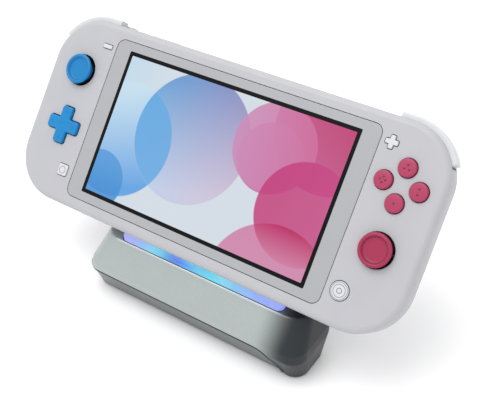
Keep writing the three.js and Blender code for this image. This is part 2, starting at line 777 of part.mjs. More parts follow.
// ---------- dock: the leaning back rest and its rubber pad ----------
// a point beside the console's back: `up` along the back from its lower edge, `off` behind the face
function besideBack(up, off) {
  const s = Math.sin(rad(leanBack));
  const c = Math.cos(rad(leanBack));
  return [s * up + c * off, edgeHeight + c * up - s * off];
}
// the same line where it meets the height z
function besideBackAt(z, off) {
  const up = (z - edgeHeight + Math.sin(rad(leanBack)) * off) / Math.cos(rad(leanBack));
  return besideBack(up, off);
}
const restHalf = 30;
const restBottom = dockTop + fit;
const restHeight = 51;
const restSlab = pushedSideways([
  besideBackAt(restBottom, 15.6),
  besideBack(restHeight, 15.6),
  besideBack(restHeight, 19.5),
  [29, restBottom],
], dockMiddle - restHalf, dockMiddle + restHalf);
const restOutline = inDockFrame(raised(
  roundedOutline(2 * restHalf, 120, 10, dockMiddle, restHeight - halfHeight - 60), -60, 0, 0, 1, 3,
));
const restHole = inDockFrame(raised(
  roundedOutline(19, 12, 5, dockMiddle, -10), -60, 0, 0, 1, 2,
));
place(dock, "back_rest", restSlab.intersect(restOutline).subtract(restHole), silver);

const padHeight = 48;
const padSlab = pushedSideways([
  [10.9, restBottom],
  [10.9, restBottom + 0.75],
  besideBackAt(restBottom + 0.75, 14.25),
  besideBack(padHeight, 14.25),
  besideBack(padHeight, 15.3),
  besideBackAt(restBottom, 15.3),
], dockMiddle - restHalf + 3, dockMiddle + restHalf - 3);
place(dock, "rest_pad", padSlab.subtract(restHole), rubber);

export default assembly;
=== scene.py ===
import bpy
import bmesh
import json
import math
from mathutils import Vector, Matrix


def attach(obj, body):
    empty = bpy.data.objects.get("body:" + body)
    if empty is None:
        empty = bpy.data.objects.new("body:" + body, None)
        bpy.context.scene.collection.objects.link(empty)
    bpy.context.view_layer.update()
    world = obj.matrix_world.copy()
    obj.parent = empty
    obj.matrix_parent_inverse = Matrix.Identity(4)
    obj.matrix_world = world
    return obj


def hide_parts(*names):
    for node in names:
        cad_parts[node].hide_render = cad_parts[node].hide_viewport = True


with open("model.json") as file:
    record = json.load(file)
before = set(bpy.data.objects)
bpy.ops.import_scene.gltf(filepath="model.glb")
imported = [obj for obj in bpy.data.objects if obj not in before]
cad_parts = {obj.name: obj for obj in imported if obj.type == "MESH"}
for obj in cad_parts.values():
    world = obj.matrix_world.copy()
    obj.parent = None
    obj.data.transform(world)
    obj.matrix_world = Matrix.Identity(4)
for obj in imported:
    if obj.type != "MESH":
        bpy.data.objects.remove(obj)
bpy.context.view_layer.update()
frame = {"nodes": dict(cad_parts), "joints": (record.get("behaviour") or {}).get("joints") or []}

print("frame loaded")

# Two work frames, both in millimetres. consoleSeat: x right, y up the console's face, z out of it,
# from the middle of the face. dockSeat: x right, y back, z up, from under the console's lower edge.
joints = {joint["name"]: joint for joint in frame["joints"]}
console = {
    "width": 212, "height": 93, "depth": 13.9, "corner": 24, "edge": 3, "wall": 1.8,
    "seam": 4.4, "seamGap": 0.15,
    "stickX": 87, "leftStickY": 19.5, "rightStickY": -9.1, "stickPivot": -6,
}
mm = 0.001
faceRight = Vector((1, 0, 0))
faceUp = Vector(joints["console_lift"]["axis"]).normalized()
faceOut = faceRight.cross(faceUp)
knownPoint = Vector(joints["left_stick_sideways"]["pos_m"])
faceMiddle = knownPoint + mm * (
    console["stickX"] * faceRight - console["leftStickY"] * faceUp - console["stickPivot"] * faceOut)
consoleSeat = Matrix((
    (mm * faceRight.x, mm * faceUp.x, mm * faceOut.x, faceMiddle.x),
    (mm * faceRight.y, mm * faceUp.y, mm * faceOut.y, faceMiddle.y),
    (mm * faceRight.z, mm * faceUp.z, mm * faceOut.z, faceMiddle.z),
    (0, 0, 0, 1)))
halfWidth = console["width"] / 2
halfHeight = console["height"] / 2
lowerEdge = consoleSeat @ Vector((0, -halfHeight, 0))
dockSeat = Matrix.Translation((0, lowerEdge.y, 0)) @ Matrix.Scale(mm, 4)

# camera first
cameraPlan = {"lens": 63.53, "sensor": 36, "azimuth": 33.47, "elevation": 38.05,
              "fromLowerEdge": (0.1885, -0.2294, 0.2623)}
cameraData = bpy.data.cameras.new("camera")
cameraData.lens = cameraPlan["lens"]
cameraData.sensor_width = cameraPlan["sensor"]
cameraData.clip_start = 0.01
cameraData.clip_end = 20
camera = bpy.data.objects.new("camera", cameraData)
bpy.context.scene.collection.objects.link(camera)
camera.location = lowerEdge + Vector(cameraPlan["fromLowerEdge"])
turn = math.radians(cameraPlan["azimuth"])
drop = math.radians(cameraPlan["elevation"])
lookWay = Vector((-math.sin(turn) * math.cos(drop), math.cos(turn) * math.cos(drop), -math.sin(drop)))
camera.rotation_mode = "QUATERNION"
camera.rotation_quaternion = lookWay.to_track_quat("-Z", "Y")
bpy.context.scene.camera = camera
print("camera placed")


# materials
def startMaterial(name, colour, roughness, metallic=0.0):
    material = bpy.data.materials.new(name)
    material.use_nodes = True
    tree = material.node_tree
    shader = tree.nodes["Principled BSDF"]
    shader.inputs["Base Color"].default_value = (*colour, 1)
    shader.inputs["Roughness"].default_value = roughness
    shader.inputs["Metallic"].default_value = metallic
    return material, tree, shader


def addNode(tree, kind, **settings):
    node = tree.nodes.new(kind)
    for key, value in settings.items():
        if key in node.inputs:
            node.inputs[key].default_value = value
        else:
            setattr(node, key, value)
    return node


def objectNoise(tree, size, detail=3, stretch=(1, 1, 1), kind="ShaderNodeTexNoise"):
    # size is the width of one blotch, in millimetres
    place = addNode(tree, "ShaderNodeTexCoord")
    mapping = addNode(tree, "ShaderNodeMapping")
    mapping.inputs["Scale"].default_value = stretch
    tree.links.new(place.outputs["Object"], mapping.inputs["Vector"])
    noise = tree.nodes.new(kind)
    noise.inputs["Scale"].default_value = 1000 / size
    if "Detail" in noise.inputs:
        noise.inputs["Detail"].default_value = detail
    tree.links.new(mapping.outputs["Vector"], noise.inputs["Vector"])
    return noise


def spread(tree, source, low, high, fromLow=0.3, fromHigh=0.7):
    ranged = addNode(tree, "ShaderNodeMapRange")
    ranged.inputs["From Min"].default_value = fromLow
    ranged.inputs["From Max"].default_value = fromHigh
    ranged.inputs["To Min"].default_value = low
    ranged.inputs["To Max"].default_value = high
    tree.links.new(source, ranged.inputs["Value"])
    return ranged.outputs["Result"]


def socketNamed(node, name, kind, outputs=False):
    sockets = node.outputs if outputs else node.inputs
    return [socket for socket in sockets if socket.type == kind and socket.name == name][0]


def mixColours(tree, factor, below, above):
    mix = addNode(tree, "ShaderNodeMix", data_type="RGBA")
    a = socketNamed(mix, "A", "RGBA")
    b = socketNamed(mix, "B", "RGBA")
    for socket, value in ((a, below), (b, above)):
        if isinstance(value, tuple):
            socket.default_value = (*value, 1)
        else:
            tree.links.new(value, socket)
    tree.links.new(factor, mix.inputs["Factor"])
    return socketNamed(mix, "Result", "RGBA", True)


def smoothSpread(tree, source, start, end):
    # eases from 0 at start to 1 at end
    ranged = addNode(tree, "ShaderNodeMapRange")
    ranged.interpolation_type = "SMOOTHSTEP"
    ranged.inputs["From Min"].default_value = min(start, end)
    ranged.inputs["From Max"].default_value = max(start, end)
    ranged.inputs["To Min"].default_value = 0 if start < end else 1
    ranged.inputs["To Max"].default_value = 1 if start < end else 0
    tree.links.new(source, ranged.inputs["Value"])
    return ranged.outputs["Result"]


def tint(colour, amount):
    return tuple(max(0.0, min(1.0, part * amount)) for part in colour)


def varyColour(tree, shader, colour, amount, size):
    noise = objectNoise(tree, size, 4)
    share = spread(tree, noise.outputs["Fac"], 0, 1)
    result = mixColours(tree, share, tint(colour, 1 - amount), tint(colour, 1 + amount))
    tree.links.new(result, shader.inputs["Base Color"])


def addGrain(tree, shader, size, strength, depth, stretch=(1, 1, 1)):
    noise = objectNoise(tree, size, 2, stretch)
    bump = addNode(tree, "ShaderNodeBump")
    bump.inputs["Strength"].default_value = strength
    bump.inputs["Distance"].default_value = depth * mm
    tree.links.new(noise.outputs["Fac"], bump.inputs["Height"])
    tree.links.new(bump.outputs["Normal"], shader.inputs["Normal"])
    return bump


def varyRoughness(tree, shader, roughness, amount, size):
    noise = objectNoise(tree, size, 5)
    rough = spread(tree, noise.outputs["Fac"], roughness - amount, roughness + amount)
    tree.links.new(rough, shader.inputs["Roughness"])


def mouldedPlastic(name, colour, roughness=0.42, grain=0.22, grainStrength=0.12, variation=0.02,
                   smudge=0.05, coat=0.0, shine=0.5):
    material, tree, shader = startMaterial(name, colour, roughness)
    varyColour(tree, shader, colour, variation, 14)
    varyRoughness(tree, shader, roughness, smudge, 9)
    addGrain(tree, shader, grain, grainStrength, 0.02)
    shader.inputs["Coat Weight"].default_value = coat
    shader.inputs["Coat Roughness"].default_value = 0.1
    shader.inputs["Specular IOR Level"].default_value = shine
    return material


# painted shade: the dock's silver paint turns dark towards its right end, with a narrow band at its left
# end, standing in for the shade those ends fall into
dockEndShade = {"colour": (0.026, 0.03, 0.034), "rightStart": 45, "rightEnd": 62,
            "leftStart": -49.5, "leftEnd": -52}


def metallicPaint(name, colour, roughness, metallic, ends=None):
    # flakes a tenth of a millimetre wide under a satin lacquer; the dock's paint is darkened towards its
    # ends as painted shade, broad at the right end that turns away from the light and a narrow band at the
    # left end
    material, tree, shader = startMaterial(name, colour, roughness, metallic)
    flake = objectNoise(tree, 0.16, 0, kind="ShaderNodeTexVoronoi")
    separate = addNode(tree, "ShaderNodeSeparateColor")
    tree.links.new(flake.outputs["Color"], separate.inputs["Color"])
    result = mixColours(tree, separate.outputs["Red"], tint(colour, 0.93), tint(colour, 1.07))
    # painted shade: a dark colour is blended in towards each end of the dock
    if ends:
        place = addNode(tree, "ShaderNodeTexCoord")
        apart = addNode(tree, "ShaderNodeSeparateXYZ")
        tree.links.new(place.outputs["Object"], apart.inputs["Vector"])
        for start, end in (("rightStart", "rightEnd"), ("leftStart", "leftEnd")):
            share = smoothSpread(tree, apart.outputs["X"], ends[start] * mm, ends[end] * mm)
            result = mixColours(tree, share, result, ends["colour"])
    tree.links.new(result, shader.inputs["Base Color"])
    varyRoughness(tree, shader, roughness, 0.04, 12)
    addGrain(tree, shader, 0.5, 0.05, 0.02)
    shader.inputs["Coat Weight"].default_value = 0.25
    shader.inputs["Coat Roughness"].default_value = 0.18
    return material


def bareMetal(name, colour, roughness, stretch=(1, 12, 12)):
    material, tree, shader = startMaterial(name, colour, roughness, 1.0)
    varyColour(tree, shader, colour, 0.06, 6)
    noise = objectNoise(tree, 3, 4, stretch)
    tree.links.new(spread(tree, noise.outputs["Fac"], roughness - 0.1, roughness + 0.12),
                   shader.inputs["Roughness"])
    addGrain(tree, shader, 1.2, 0.06, 0.02, stretch)
    return material


def rubberMaterial(name, colour):
    material, tree, shader = startMaterial(name, colour, 0.8)
    varyColour(tree, shader, colour, 0.12, 5)
    varyRoughness(tree, shader, 0.8, 0.1, 3)
    addGrain(tree, shader, 0.3, 0.35, 0.04)
    return material


def boardMaterial(name, colour):
    # a solder mask with the copper tracks showing faintly through it
    material, tree, shader = startMaterial(name, colour, 0.35)
    tracks = objectNoise(tree, 2.4, 0, kind="ShaderNodeTexBrick")
    tracks.inputs["Scale"].default_value = 260
    tracks.inputs["Mortar Size"].default_value = 0.06
    tracks.inputs["Color1"].default_value = (*colour, 1)
    tracks.inputs["Color2"].default_value = (*tint(colour, 0.8), 1)
    tracks.inputs["Mortar"].default_value = (*tint(colour, 1.9), 1)
    tree.links.new(tracks.outputs["Color"], shader.inputs["Base Color"])
    varyRoughness(tree, shader, 0.35, 0.08, 4)
    addGrain(tree, shader, 0.6, 0.1, 0.03)
    return material


greys = {"shell": (0.41, 0.41, 0.435), "bezel": (0.33, 0.335, 0.35), "white": (0.56, 0.565, 0.59)}
paints = {"blue": (0.004, 0.19, 0.46), "pink": (0.32, 0.022, 0.072), "pinkButton": (0.36, 0.034, 0.095)}
finishes = {
    "shell": mouldedPlastic("satinShell", greys["shell"], 0.44),
    "bezel": mouldedPlastic("screenBezelGrey", greys["bezel"], 0.3, 0.3, 0.03, 0.015, 0.03, 0.5),
    "blue": mouldedPlastic("blueStick", paints["blue"], 0.36, 0.2, 0.15, 0.05, 0.05, 0.0, 0.3),
    "pink": mouldedPlastic("deepPinkStick", paints["pink"], 0.36, 0.2, 0.15, 0.05, 0.05, 0.0, 0.3),
    "pinkButton": mouldedPlastic("pinkButton", paints["pinkButton"], 0.34, 0.2, 0.1, 0.04, 0.05, 0.0, 0.35),
    # darker pink and blue: printed marks on the pad and buttons, and painted shade in the stick caps'
    # dishes
    "pinkMark": mouldedPlastic("pinkMark", (0.12, 0.006, 0.03), 0.5, 0.2, 0.1, 0.04),
    "blueMark": mouldedPlastic("blueMark", (0.012, 0.12, 0.36), 0.5, 0.2, 0.1, 0.04),
    "white": mouldedPlastic("whiteKeys", greys["white"], 0.38, 0.25, 0.08),
    "greyMark": mouldedPlastic("greyMark", (0.22, 0.23, 0.25), 0.5, 0.2, 0.1, 0.04),
    "black": mouldedPlastic("blackPlastic", (0.012, 0.012, 0.014), 0.5, 0.3, 0.2, 0.1),
    "glassBlack": mouldedPlastic("blackUnderGlass", (0.003, 0.003, 0.004), 0.3, 0.4, 0.02, 0.1, 0.03,
                                 shine=0.12),
    "silver": metallicPaint("satinSilverPaint", (0.40, 0.44, 0.44), 0.42, 0.75, dockEndShade),
    "slate": metallicPaint("satinSlatePaint", (0.17, 0.185, 0.19), 0.4, 0.7),
    "rubber": rubberMaterial("darkRubber", (0.022, 0.022, 0.024)),
    "steel": bareMetal("sheetSteel", (0.56, 0.57, 0.58), 0.32),
    "darkSteel": bareMetal("darkSteel", (0.05, 0.05, 0.055), 0.5),
    "copper": bareMetal("bareCopper", (0.72, 0.36, 0.22), 0.34),
    "board": boardMaterial("greenBoard", (0.015, 0.12, 0.06)),
    "foil": bareMetal("cellFoil", (0.3, 0.31, 0.33), 0.4, (6, 6, 6)),
}


# The lit picture: plain see-through circles on a pale ground. Each circle has a middle and radius in
# millimetres on the screen, two colours with the direction they blend along, and how solid it is.
picture = {
    "width": 121.8, "height": 68.5, "ground": (0.72, 0.79, 0.86), "groundLeft": (0.60, 0.78, 0.90),
    "soft": 0.25, "brightness": 0.9, "gloss": 0.16, "shine": 0.16,
    "circles": [
        {"at": (-51, -5), "radius": 28, "from": (0.62, 0.82, 0.95), "to": (0.10, 0.38, 0.83),
         "along": (0.35, -1), "solid": 0.92},
        {"at": (-56.5, -28), "radius": 15, "from": (0.10, 0.36, 0.76), "to": (0.04, 0.27, 0.68),
         "along": (0, -1), "solid": 0.9},
        {"at": (-14.5, 6.5), "radius": 30.5, "from": (0.04, 0.42, 0.84), "to": (0.50, 0.20, 0.44),
         "along": (1, 0.22), "solid": 0.9},
        {"at": (-14.5, 6.5), "radius": 30.5, "from": (0.13, 0.36, 0.68), "to": (0.90, 0.88, 0.96),
         "along": (0.1, -1), "solid": 0.56},
        {"at": (-51, -5), "radius": 28, "from": (0.12, 0.42, 0.82), "to": (0.14, 0.44, 0.83),
         "along": (0, 1), "solid": 0.0, "with": (-14.5, 6.5, 30.5), "overlap": 0.85},
        {"at": (51, 31), "radius": 28, "from": (0.62, 0.10, 0.30), "to": (0.54, 0.001, 0.10),
         "along": (0.6, 0.8), "solid": 0.95},
        {"at": (26.5, 11), "radius": 16, "from": (0.62, 0.28, 0.50), "to": (0.56, 0.10, 0.32),
         "along": (0.1, -1), "solid": 0.9},
        {"at": (27, 16), "radius": 20.5, "from": (0.66, 0.28, 0.52), "to": (0.68, 0.18, 0.38),
         "along": (1, 0.3), "solid": 0.9},
        {"at": (50.5, -7), "radius": 23, "from": (0.60, 0.05, 0.23), "to": (0.62, 0.08, 0.27),
         "along": (1, -0.2), "solid": 0.94},
        {"at": (46, -45), "radius": 30.5, "from": (0.68, 0.20, 0.40), "to": (0.70, 0.28, 0.46),
         "along": (0, -1), "solid": 0.88},
        {"at": (50.5, -7), "radius": 23, "from": (0.70, 0.24, 0.42), "to": (0.54, 0.012, 0.12),
         "blendAt": (50.5, -23), "reach": 8, "along": (0, 1), "solid": 0.0,
         "with": (46, -45, 30.5), "overlap": 0.9},
    ],
}


def circleMask(tree, position, at, radius):
    distance = addNode(tree, "ShaderNodeVectorMath", operation="DISTANCE")
    distance.inputs[1].default_value = (at[0], at[1], 0)
    tree.links.new(position, distance.inputs[0])
    soft = picture["soft"]
    return spread(tree, distance.outputs["Value"], 1, 0, radius - soft, radius + soft)


def multiply(tree, first, second):
    node = addNode(tree, "ShaderNodeMath", operation="MULTIPLY")
    for socket, value in zip(node.inputs, (first, second)):
        if isinstance(value, (int, float)):
            socket.default_value = value
        else:
            tree.links.new(value, socket)
    return node.outputs["Value"]


def screenPicture():
    material, tree, shader = startMaterial("litScreen", (0.004, 0.004, 0.005), picture["gloss"])
    shader.inputs["Specular IOR Level"].default_value = picture["shine"]
    uv = addNode(tree, "ShaderNodeUVMap", uv_map="screen")
    position = addNode(tree, "ShaderNodeVectorMath", operation="MULTIPLY_ADD")
    width, height = picture["width"], picture["height"]
    position.inputs[1].default_value = (width, height, 0)
    position.inputs[2].default_value = (-width / 2, -height / 2, 0)
    tree.links.new(uv.outputs["UV"], position.inputs[0])
    place = position.outputs["Vector"]
    apart = addNode(tree, "ShaderNodeSeparateXYZ")
    tree.links.new(place, apart.inputs["Vector"])
    leftness = spread(tree, apart.outputs["X"], 1, 0, -60, -34)
    colour = mixColours(tree, leftness, picture["ground"], picture["groundLeft"])
    for circle in picture["circles"]:
        along = Vector((*circle["along"], 0)).normalized()
        slope = addNode(tree, "ShaderNodeVectorMath", operation="DOT_PRODUCT")
        slope.inputs[1].default_value = along
        tree.links.new(place, slope.inputs[0])
        middle = along.dot(Vector((*circle.get("blendAt", circle["at"]), 0)))
        reach = circle.get("reach", circle["radius"] * 0.85)
        blend = spread(tree, slope.outputs["Value"], 0, 1, middle - reach, middle + reach)
        own = mixColours(tree, blend, circle["from"], circle["to"])
        mask = circleMask(tree, place, circle["at"], circle["radius"])
        if "with" in circle:
            x, y, radius = circle["with"]
            mask = multiply(tree, mask, circleMask(tree, place, (x, y), radius))
            mask = multiply(tree, mask, circle["overlap"])
        else:
            mask = multiply(tree, mask, circle["solid"])
        colour = mixColours(tree, mask, colour, own)
    tree.links.new(colour, shader.inputs["Emission Color"])
    shader.inputs["Emission Strength"].default_value = picture["brightness"]
    varyRoughness(tree, shader, picture["gloss"], 0.03, 8)
    return material


glowPlan = {
    "strength": 0.8, "left": -37, "right": 54, "base": (0.06, 0.07, 0.1),
    "colours": [
        (0.0, (0.42, 0.36, 1.0)), (0.12, (0.34, 0.46, 1.0)), (0.24, (0.08, 0.84, 0.90)),
        (0.33, (0.02, 0.05, 0.75)), (0.42, (0.06, 0.34, 0.95)), (0.60, (0.08, 0.90, 0.88)),
        (0.76, (0.24, 0.46, 1.0)), (1.0, (0.28, 0.32, 1.0))],
}


def glowMaterial():
    material, tree, shader = startMaterial("litDiffuser", (0.55, 0.65, 0.9), 0.35)
    place = addNode(tree, "ShaderNodeTexCoord")
    apart = addNode(tree, "ShaderNodeSeparateXYZ")
    tree.links.new(place.outputs["Object"], apart.inputs["Vector"])
    along = spread(tree, apart.outputs["X"], 0, 1, glowPlan["left"] * mm, glowPlan["right"] * mm)
    ramp = addNode(tree, "ShaderNodeValToRGB")
    ramp.color_ramp.interpolation = "B_SPLINE"
    stops = ramp.color_ramp.elements
    while len(stops) < len(glowPlan["colours"]):
        stops.new(0.5)
    for stop, (where, colour) in zip(stops, glowPlan["colours"]):
        stop.position = where
        stop.color = (*colour, 1)
    tree.links.new(along, ramp.inputs["Fac"])
    noise = objectNoise(tree, 7, 3)
    brighter = spread(tree, noise.outputs["Fac"], 0.0, 0.12)
    colour = mixColours(tree, brighter, ramp.outputs["Color"], (0.8, 0.9, 1.0))
    tree.links.new(colour, shader.inputs["Emission Color"])
    varyColour(tree, shader, glowPlan["base"], 0.1, 5)
    shader.inputs["Emission Strength"].default_value = glowPlan["strength"]
    varyRoughness(tree, shader, 0.35, 0.05, 5)
    addGrain(tree, shader, 0.5, 0.1, 0.03)
    return material


finishes["screen"] = screenPicture()
finishes["glow"] = glowMaterial()
print("materials mixed")


# outlines, all in millimetres; inset shrinks them
def roundedRect(width, height, radius, x=0, y=0, steps=10):
    def outline(inset=0):
        r = max(radius - inset, 0.02)
        a = width / 2 - inset - r
        b = height / 2 - inset - r
        points = []
        for cx, cy, start in ((a, -b, -90), (a, b, 0), (-a, b, 90), (-a, -b, 180)):
            for step in range(steps + 1):
                angle = math.radians(start + 90 * step / steps)
                points.append((x + cx + r * math.cos(angle), y + cy + r * math.sin(angle)))
        return points
    return outline


def circle(radius, x=0, y=0, steps=64):
    def outline(inset=0):
        r = radius - inset
        angles = [2 * math.pi * step / steps for step in range(steps)]
        return [(x + r * math.cos(angle), y + r * math.sin(angle)) for angle in angles]
    return outline


def cross(span, arm, outer, inner, x=0, y=0, steps=5):
    # a plus shape with rounded ends and rounded inside corners
    def outline(inset=0):
        s, a = span / 2 - inset, arm / 2 - inset
        out, into = max(outer - inset, 0.02), max(inner + inset, 0.02)
        quarter = []
        for step in range(steps + 1):
            angle = math.radians(-90 + 90 * step / steps)
            quarter.append((s - out + out * math.cos(angle), -a + out + out * math.sin(angle)))
        for step in range(steps + 1):
            angle = math.radians(90 * step / steps)
            quarter.append((s - out + out * math.cos(angle), a - out + out * math.sin(angle)))
        for step in range(steps + 1):
            angle = math.radians(270 - 90 * step / steps)
            quarter.append((a + into + into * math.cos(angle), a + into + into * math.sin(angle)))
        points = []
        for turnStep in range(4):
            c, d = math.cos(turnStep * math.pi / 2), math.sin(turnStep * math.pi / 2)
            points += [(x + c * u - d * v, y + d * u + c * v) for u, v in quarter]
        return points
    return outline


def cornerBand(side, start, endAngle, outward, inward, steps=24):
    # the band round a top corner of the body; side is 1 on the right and -1 on the left
    centreX = halfWidth - console["corner"]
    centreY = halfHeight - console["corner"]

    def outline(inset=0):
        outer = console["corner"] + outward - inset
        inner = console["corner"] - inward + inset
        end = math.radians(endAngle) + inset / console["corner"]
        x0 = start + inset
        points = [(x0, centreY + inner), (x0, centreY + outer)]
        for step in range(steps + 1):
            angle = math.pi / 2 + (end - math.pi / 2) * step / steps
            points.append((centreX + outer * math.cos(angle), centreY + outer * math.sin(angle)))
        for step in range(steps + 1):
            angle = end + (math.pi / 2 - end) * step / steps
            points.append((centreX + inner * math.cos(angle), centreY + inner * math.sin(angle)))
        points = [(side * px, py) for px, py in points]
        return points[::-1] if side > 0 else points
    return outline


def edges(low, high, lowRound=0.0, highRound=0.0, steps=5):
    # (inset, z) pairs from the bottom up, with quarter-round edges
    profile = []
    if lowRound:
        for step in range(steps + 1):
            angle = math.pi / 2 * step / steps
            profile.append((lowRound * (1 - math.sin(angle)), low + lowRound * (1 - math.cos(angle))))
    else:
        profile.append((0, low))
    if highRound:
        for step in range(steps + 1):
            angle = math.pi / 2 * step / steps
            profile.append((highRound * (1 - math.cos(angle)), high - highRound * (1 - math.sin(angle))))
    else:
        profile.append((0, high))
    return profile


# meshes
def newObject(name, mesh):
    made = bpy.data.objects.new(name, mesh)
    bpy.context.scene.collection.objects.link(made)
    return made


def addRings(work, rings, closed=True):
    loops = [[work.verts.new(point) for point in ring] for ring in rings]
    count = len(loops[0])
    for lower, upper in zip(loops, loops[1:]):
        for i in range(count):
            j = (i + 1) % count
            work.faces.new((lower[i], lower[j], upper[j], upper[i]))
    if closed:
        work.faces.new(loops[0][::-1])
        work.faces.new(loops[-1])
    return loops


def addPlate(work, outline, profile):
    return addRings(work, [[(px, py, z) for px, py in outline(inset)] for inset, z in profile])


def addLathe(work, profile, x=0, y=0, steps=96):
    # profile: (radius, z) pairs from the bottom axis point to the top one
    ends = [work.verts.new((x, y, profile[0][1])), work.verts.new((x, y, profile[-1][1]))]
    loops = []
    for radius, z in profile[1:-1]:
        ring = []
        for step in range(steps):
            angle = 2 * math.pi * step / steps
            ring.append(work.verts.new((x + radius * math.cos(angle), y + radius * math.sin(angle), z)))
        loops.append(ring)
    for lower, upper in zip(loops, loops[1:]):
        for i in range(steps):
            j = (i + 1) % steps
            work.faces.new((lower[i], lower[j], upper[j], upper[i]))
    for i in range(steps):
        j = (i + 1) % steps
        work.faces.new((ends[0], loops[0][j], loops[0][i]))
        work.faces.new((ends[1], loops[-1][i], loops[-1][j]))


def addBox(work, x0, x1, y0, y1, z0, z1):
    def outline(inset=0):
        return [(x0, y0), (x1, y0), (x1, y1), (x0, y1)]
    addPlate(work, outline, [(0, z0), (0, z1)])


def meshFrom(work, name):
    bmesh.ops.recalc_face_normals(work, faces=work.faces)
    mesh = bpy.data.meshes.new(name)
    work.to_mesh(mesh)
    work.free()
    return mesh


def build(name, *makers):
    # each maker adds one closed shell to the piece
    work = bmesh.new()
    for maker in makers:
        maker(work)
    return newObject(name, meshFrom(work, name))


def plate(outline, profile):
    return lambda work: addPlate(work, outline, profile)


def lathe(profile, x=0, y=0, steps=96):
    return lambda work: addLathe(work, profile, x, y, steps)


def boxed(*corners):
    return lambda work: addBox(work, *corners)


def settle(piece):
    # replaces the piece's mesh by its evaluated one and drops its modifiers
    bpy.context.view_layer.update()
    evaluated = piece.evaluated_get(bpy.context.evaluated_depsgraph_get())
    mesh = bpy.data.meshes.new_from_object(evaluated)
    old = piece.data
    piece.modifiers.clear()
    piece.data = mesh
    bpy.data.meshes.remove(old)
    return piece


def carve(piece, cutter, operation="DIFFERENCE"):
    modifier = piece.modifiers.new("carve", "BOOLEAN")
    modifier.object = cutter
    modifier.operation = operation
    modifier.solver = "EXACT"
    modifier.use_self = True
    settle(piece)
    old = cutter.data
    bpy.data.objects.remove(cutter)
    bpy.data.meshes.remove(old)
    return piece


def opening(outline, low, high, flare=0.2):
    # a cutter whose mouth widens at 45 degrees just under the surface at height `high`
    return plate(outline, [(0, low), (0, high - flare), (-flare - 1, high + 1)])


def finish(piece, seat, body, slot, material, *replaced, smooth=32):
    mesh = piece.data
    mesh.transform(seat)
    work = bmesh.new()
    work.from_mesh(mesh)
    bmesh.ops.remove_doubles(work, verts=work.verts, dist=1e-7)
    bmesh.ops.recalc_face_normals(work, faces=work.faces)
    work.to_mesh(mesh)
    work.free()
    mesh.materials.clear()
    mesh.materials.append(material)
    for polygon in mesh.polygons:
        polygon.use_smooth = True
        polygon.material_index = 0
    mesh.set_sharp_from_angle(angle=math.radians(smooth))
    weighted = piece.modifiers.new("evenShading", "WEIGHTED_NORMAL")
    weighted.keep_sharp = True
    weighted.weight = 100
    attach(piece, body)
    if replaced:
        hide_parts(*replaced)
    return piece


# geometry nodes: one element repeated along a line, round a ring, or at given places
def startTree(name, inputs):
    tree = bpy.data.node_groups.new(name, "GeometryNodeTree")
    tree.interface.new_socket("Geometry", in_out="INPUT", socket_type="NodeSocketGeometry")
    for label, kind in inputs:
        tree.interface.new_socket(label, in_out="INPUT", socket_type=kind)
    tree.interface.new_socket("Geometry", in_out="OUTPUT", socket_type="NodeSocketGeometry")
    return tree, tree.nodes.new("NodeGroupInput"), tree.nodes.new("NodeGroupOutput")


def endTree(tree, start, end, points, element, turnSocket=None):
    instance = tree.nodes.new("GeometryNodeInstanceOnPoints")
    realize = tree.nodes.new("GeometryNodeRealizeInstances")
    paint = tree.nodes.new("GeometryNodeSetMaterial")
    tree.links.new(points, instance.inputs["Points"])
    tree.links.new(element, instance.inputs["Instance"])
    if turnSocket is not None:
        tree.links.new(turnSocket, instance.inputs["Rotation"])
    tree.links.new(instance.outputs["Instances"], realize.inputs["Geometry"])
    tree.links.new(realize.outputs["Geometry"], paint.inputs["Geometry"])
    tree.links.new(start.outputs["Material"], paint.inputs["Material"])
    tree.links.new(paint.outputs["Geometry"], end.inputs["Geometry"])


def lineTree():
    tree, start, end = startTree("repeatInLine", [
        ("Count", "NodeSocketInt"), ("First", "NodeSocketVector"), ("Step", "NodeSocketVector"),
        ("Material", "NodeSocketMaterial")])
    line = tree.nodes.new("GeometryNodeMeshLine")
    tree.links.new(start.outputs["Count"], line.inputs["Count"])
    tree.links.new(start.outputs["First"], line.inputs["Start Location"])
    tree.links.new(start.outputs["Step"], line.inputs["Offset"])
    endTree(tree, start, end, line.outputs["Mesh"], start.outputs["Geometry"])
    return tree


def ringTree():
    tree, start, end = startTree("repeatInRing", [
        ("Count", "NodeSocketInt"), ("Radius", "NodeSocketFloat"), ("Material", "NodeSocketMaterial")])
    ring = tree.nodes.new("GeometryNodeMeshCircle")
    tree.links.new(start.outputs["Count"], ring.inputs["Vertices"])
    tree.links.new(start.outputs["Radius"], ring.inputs["Radius"])
    index = tree.nodes.new("GeometryNodeInputIndex")
    share = tree.nodes.new("ShaderNodeMath")
    share.operation = "DIVIDE"
    tree.links.new(index.outputs["Index"], share.inputs[0])
    tree.links.new(start.outputs["Count"], share.inputs[1])
    angle = tree.nodes.new("ShaderNodeMath")
    angle.operation = "MULTIPLY"
    angle.inputs[1].default_value = 2 * math.pi
    tree.links.new(share.outputs["Value"], angle.inputs[0])
    combine = tree.nodes.new("ShaderNodeCombineXYZ")
    tree.links.new(angle.outputs["Value"], combine.inputs["Z"])
    endTree(tree, start, end, ring.outputs["Mesh"], start.outputs["Geometry"], combine.outputs["Vector"])
    return tree


def placesTree():
    tree, start, end = startTree("repeatAtPlaces", [
        ("Element", "NodeSocketObject"), ("Material", "NodeSocketMaterial")])
    info = tree.nodes.new("GeometryNodeObjectInfo")
    tree.links.new(start.outputs["Element"], info.inputs["Object"])
    endTree(tree, start, end, start.outputs["Geometry"], info.outputs["Geometry"])
    return tree


repeaters = {"line": lineTree(), "ring": ringTree(), "places": placesTree()}


def repeat(piece, kind, **values):
    tree = repeaters[kind]
    modifier = piece.modifiers.new("repeat", "NODES")
    modifier.node_group = tree
    for item in tree.interface.items_tree:
        if item.in_out == "INPUT" and item.name in values:
            modifier[item.identifier] = values[item.name]
    return settle(piece)


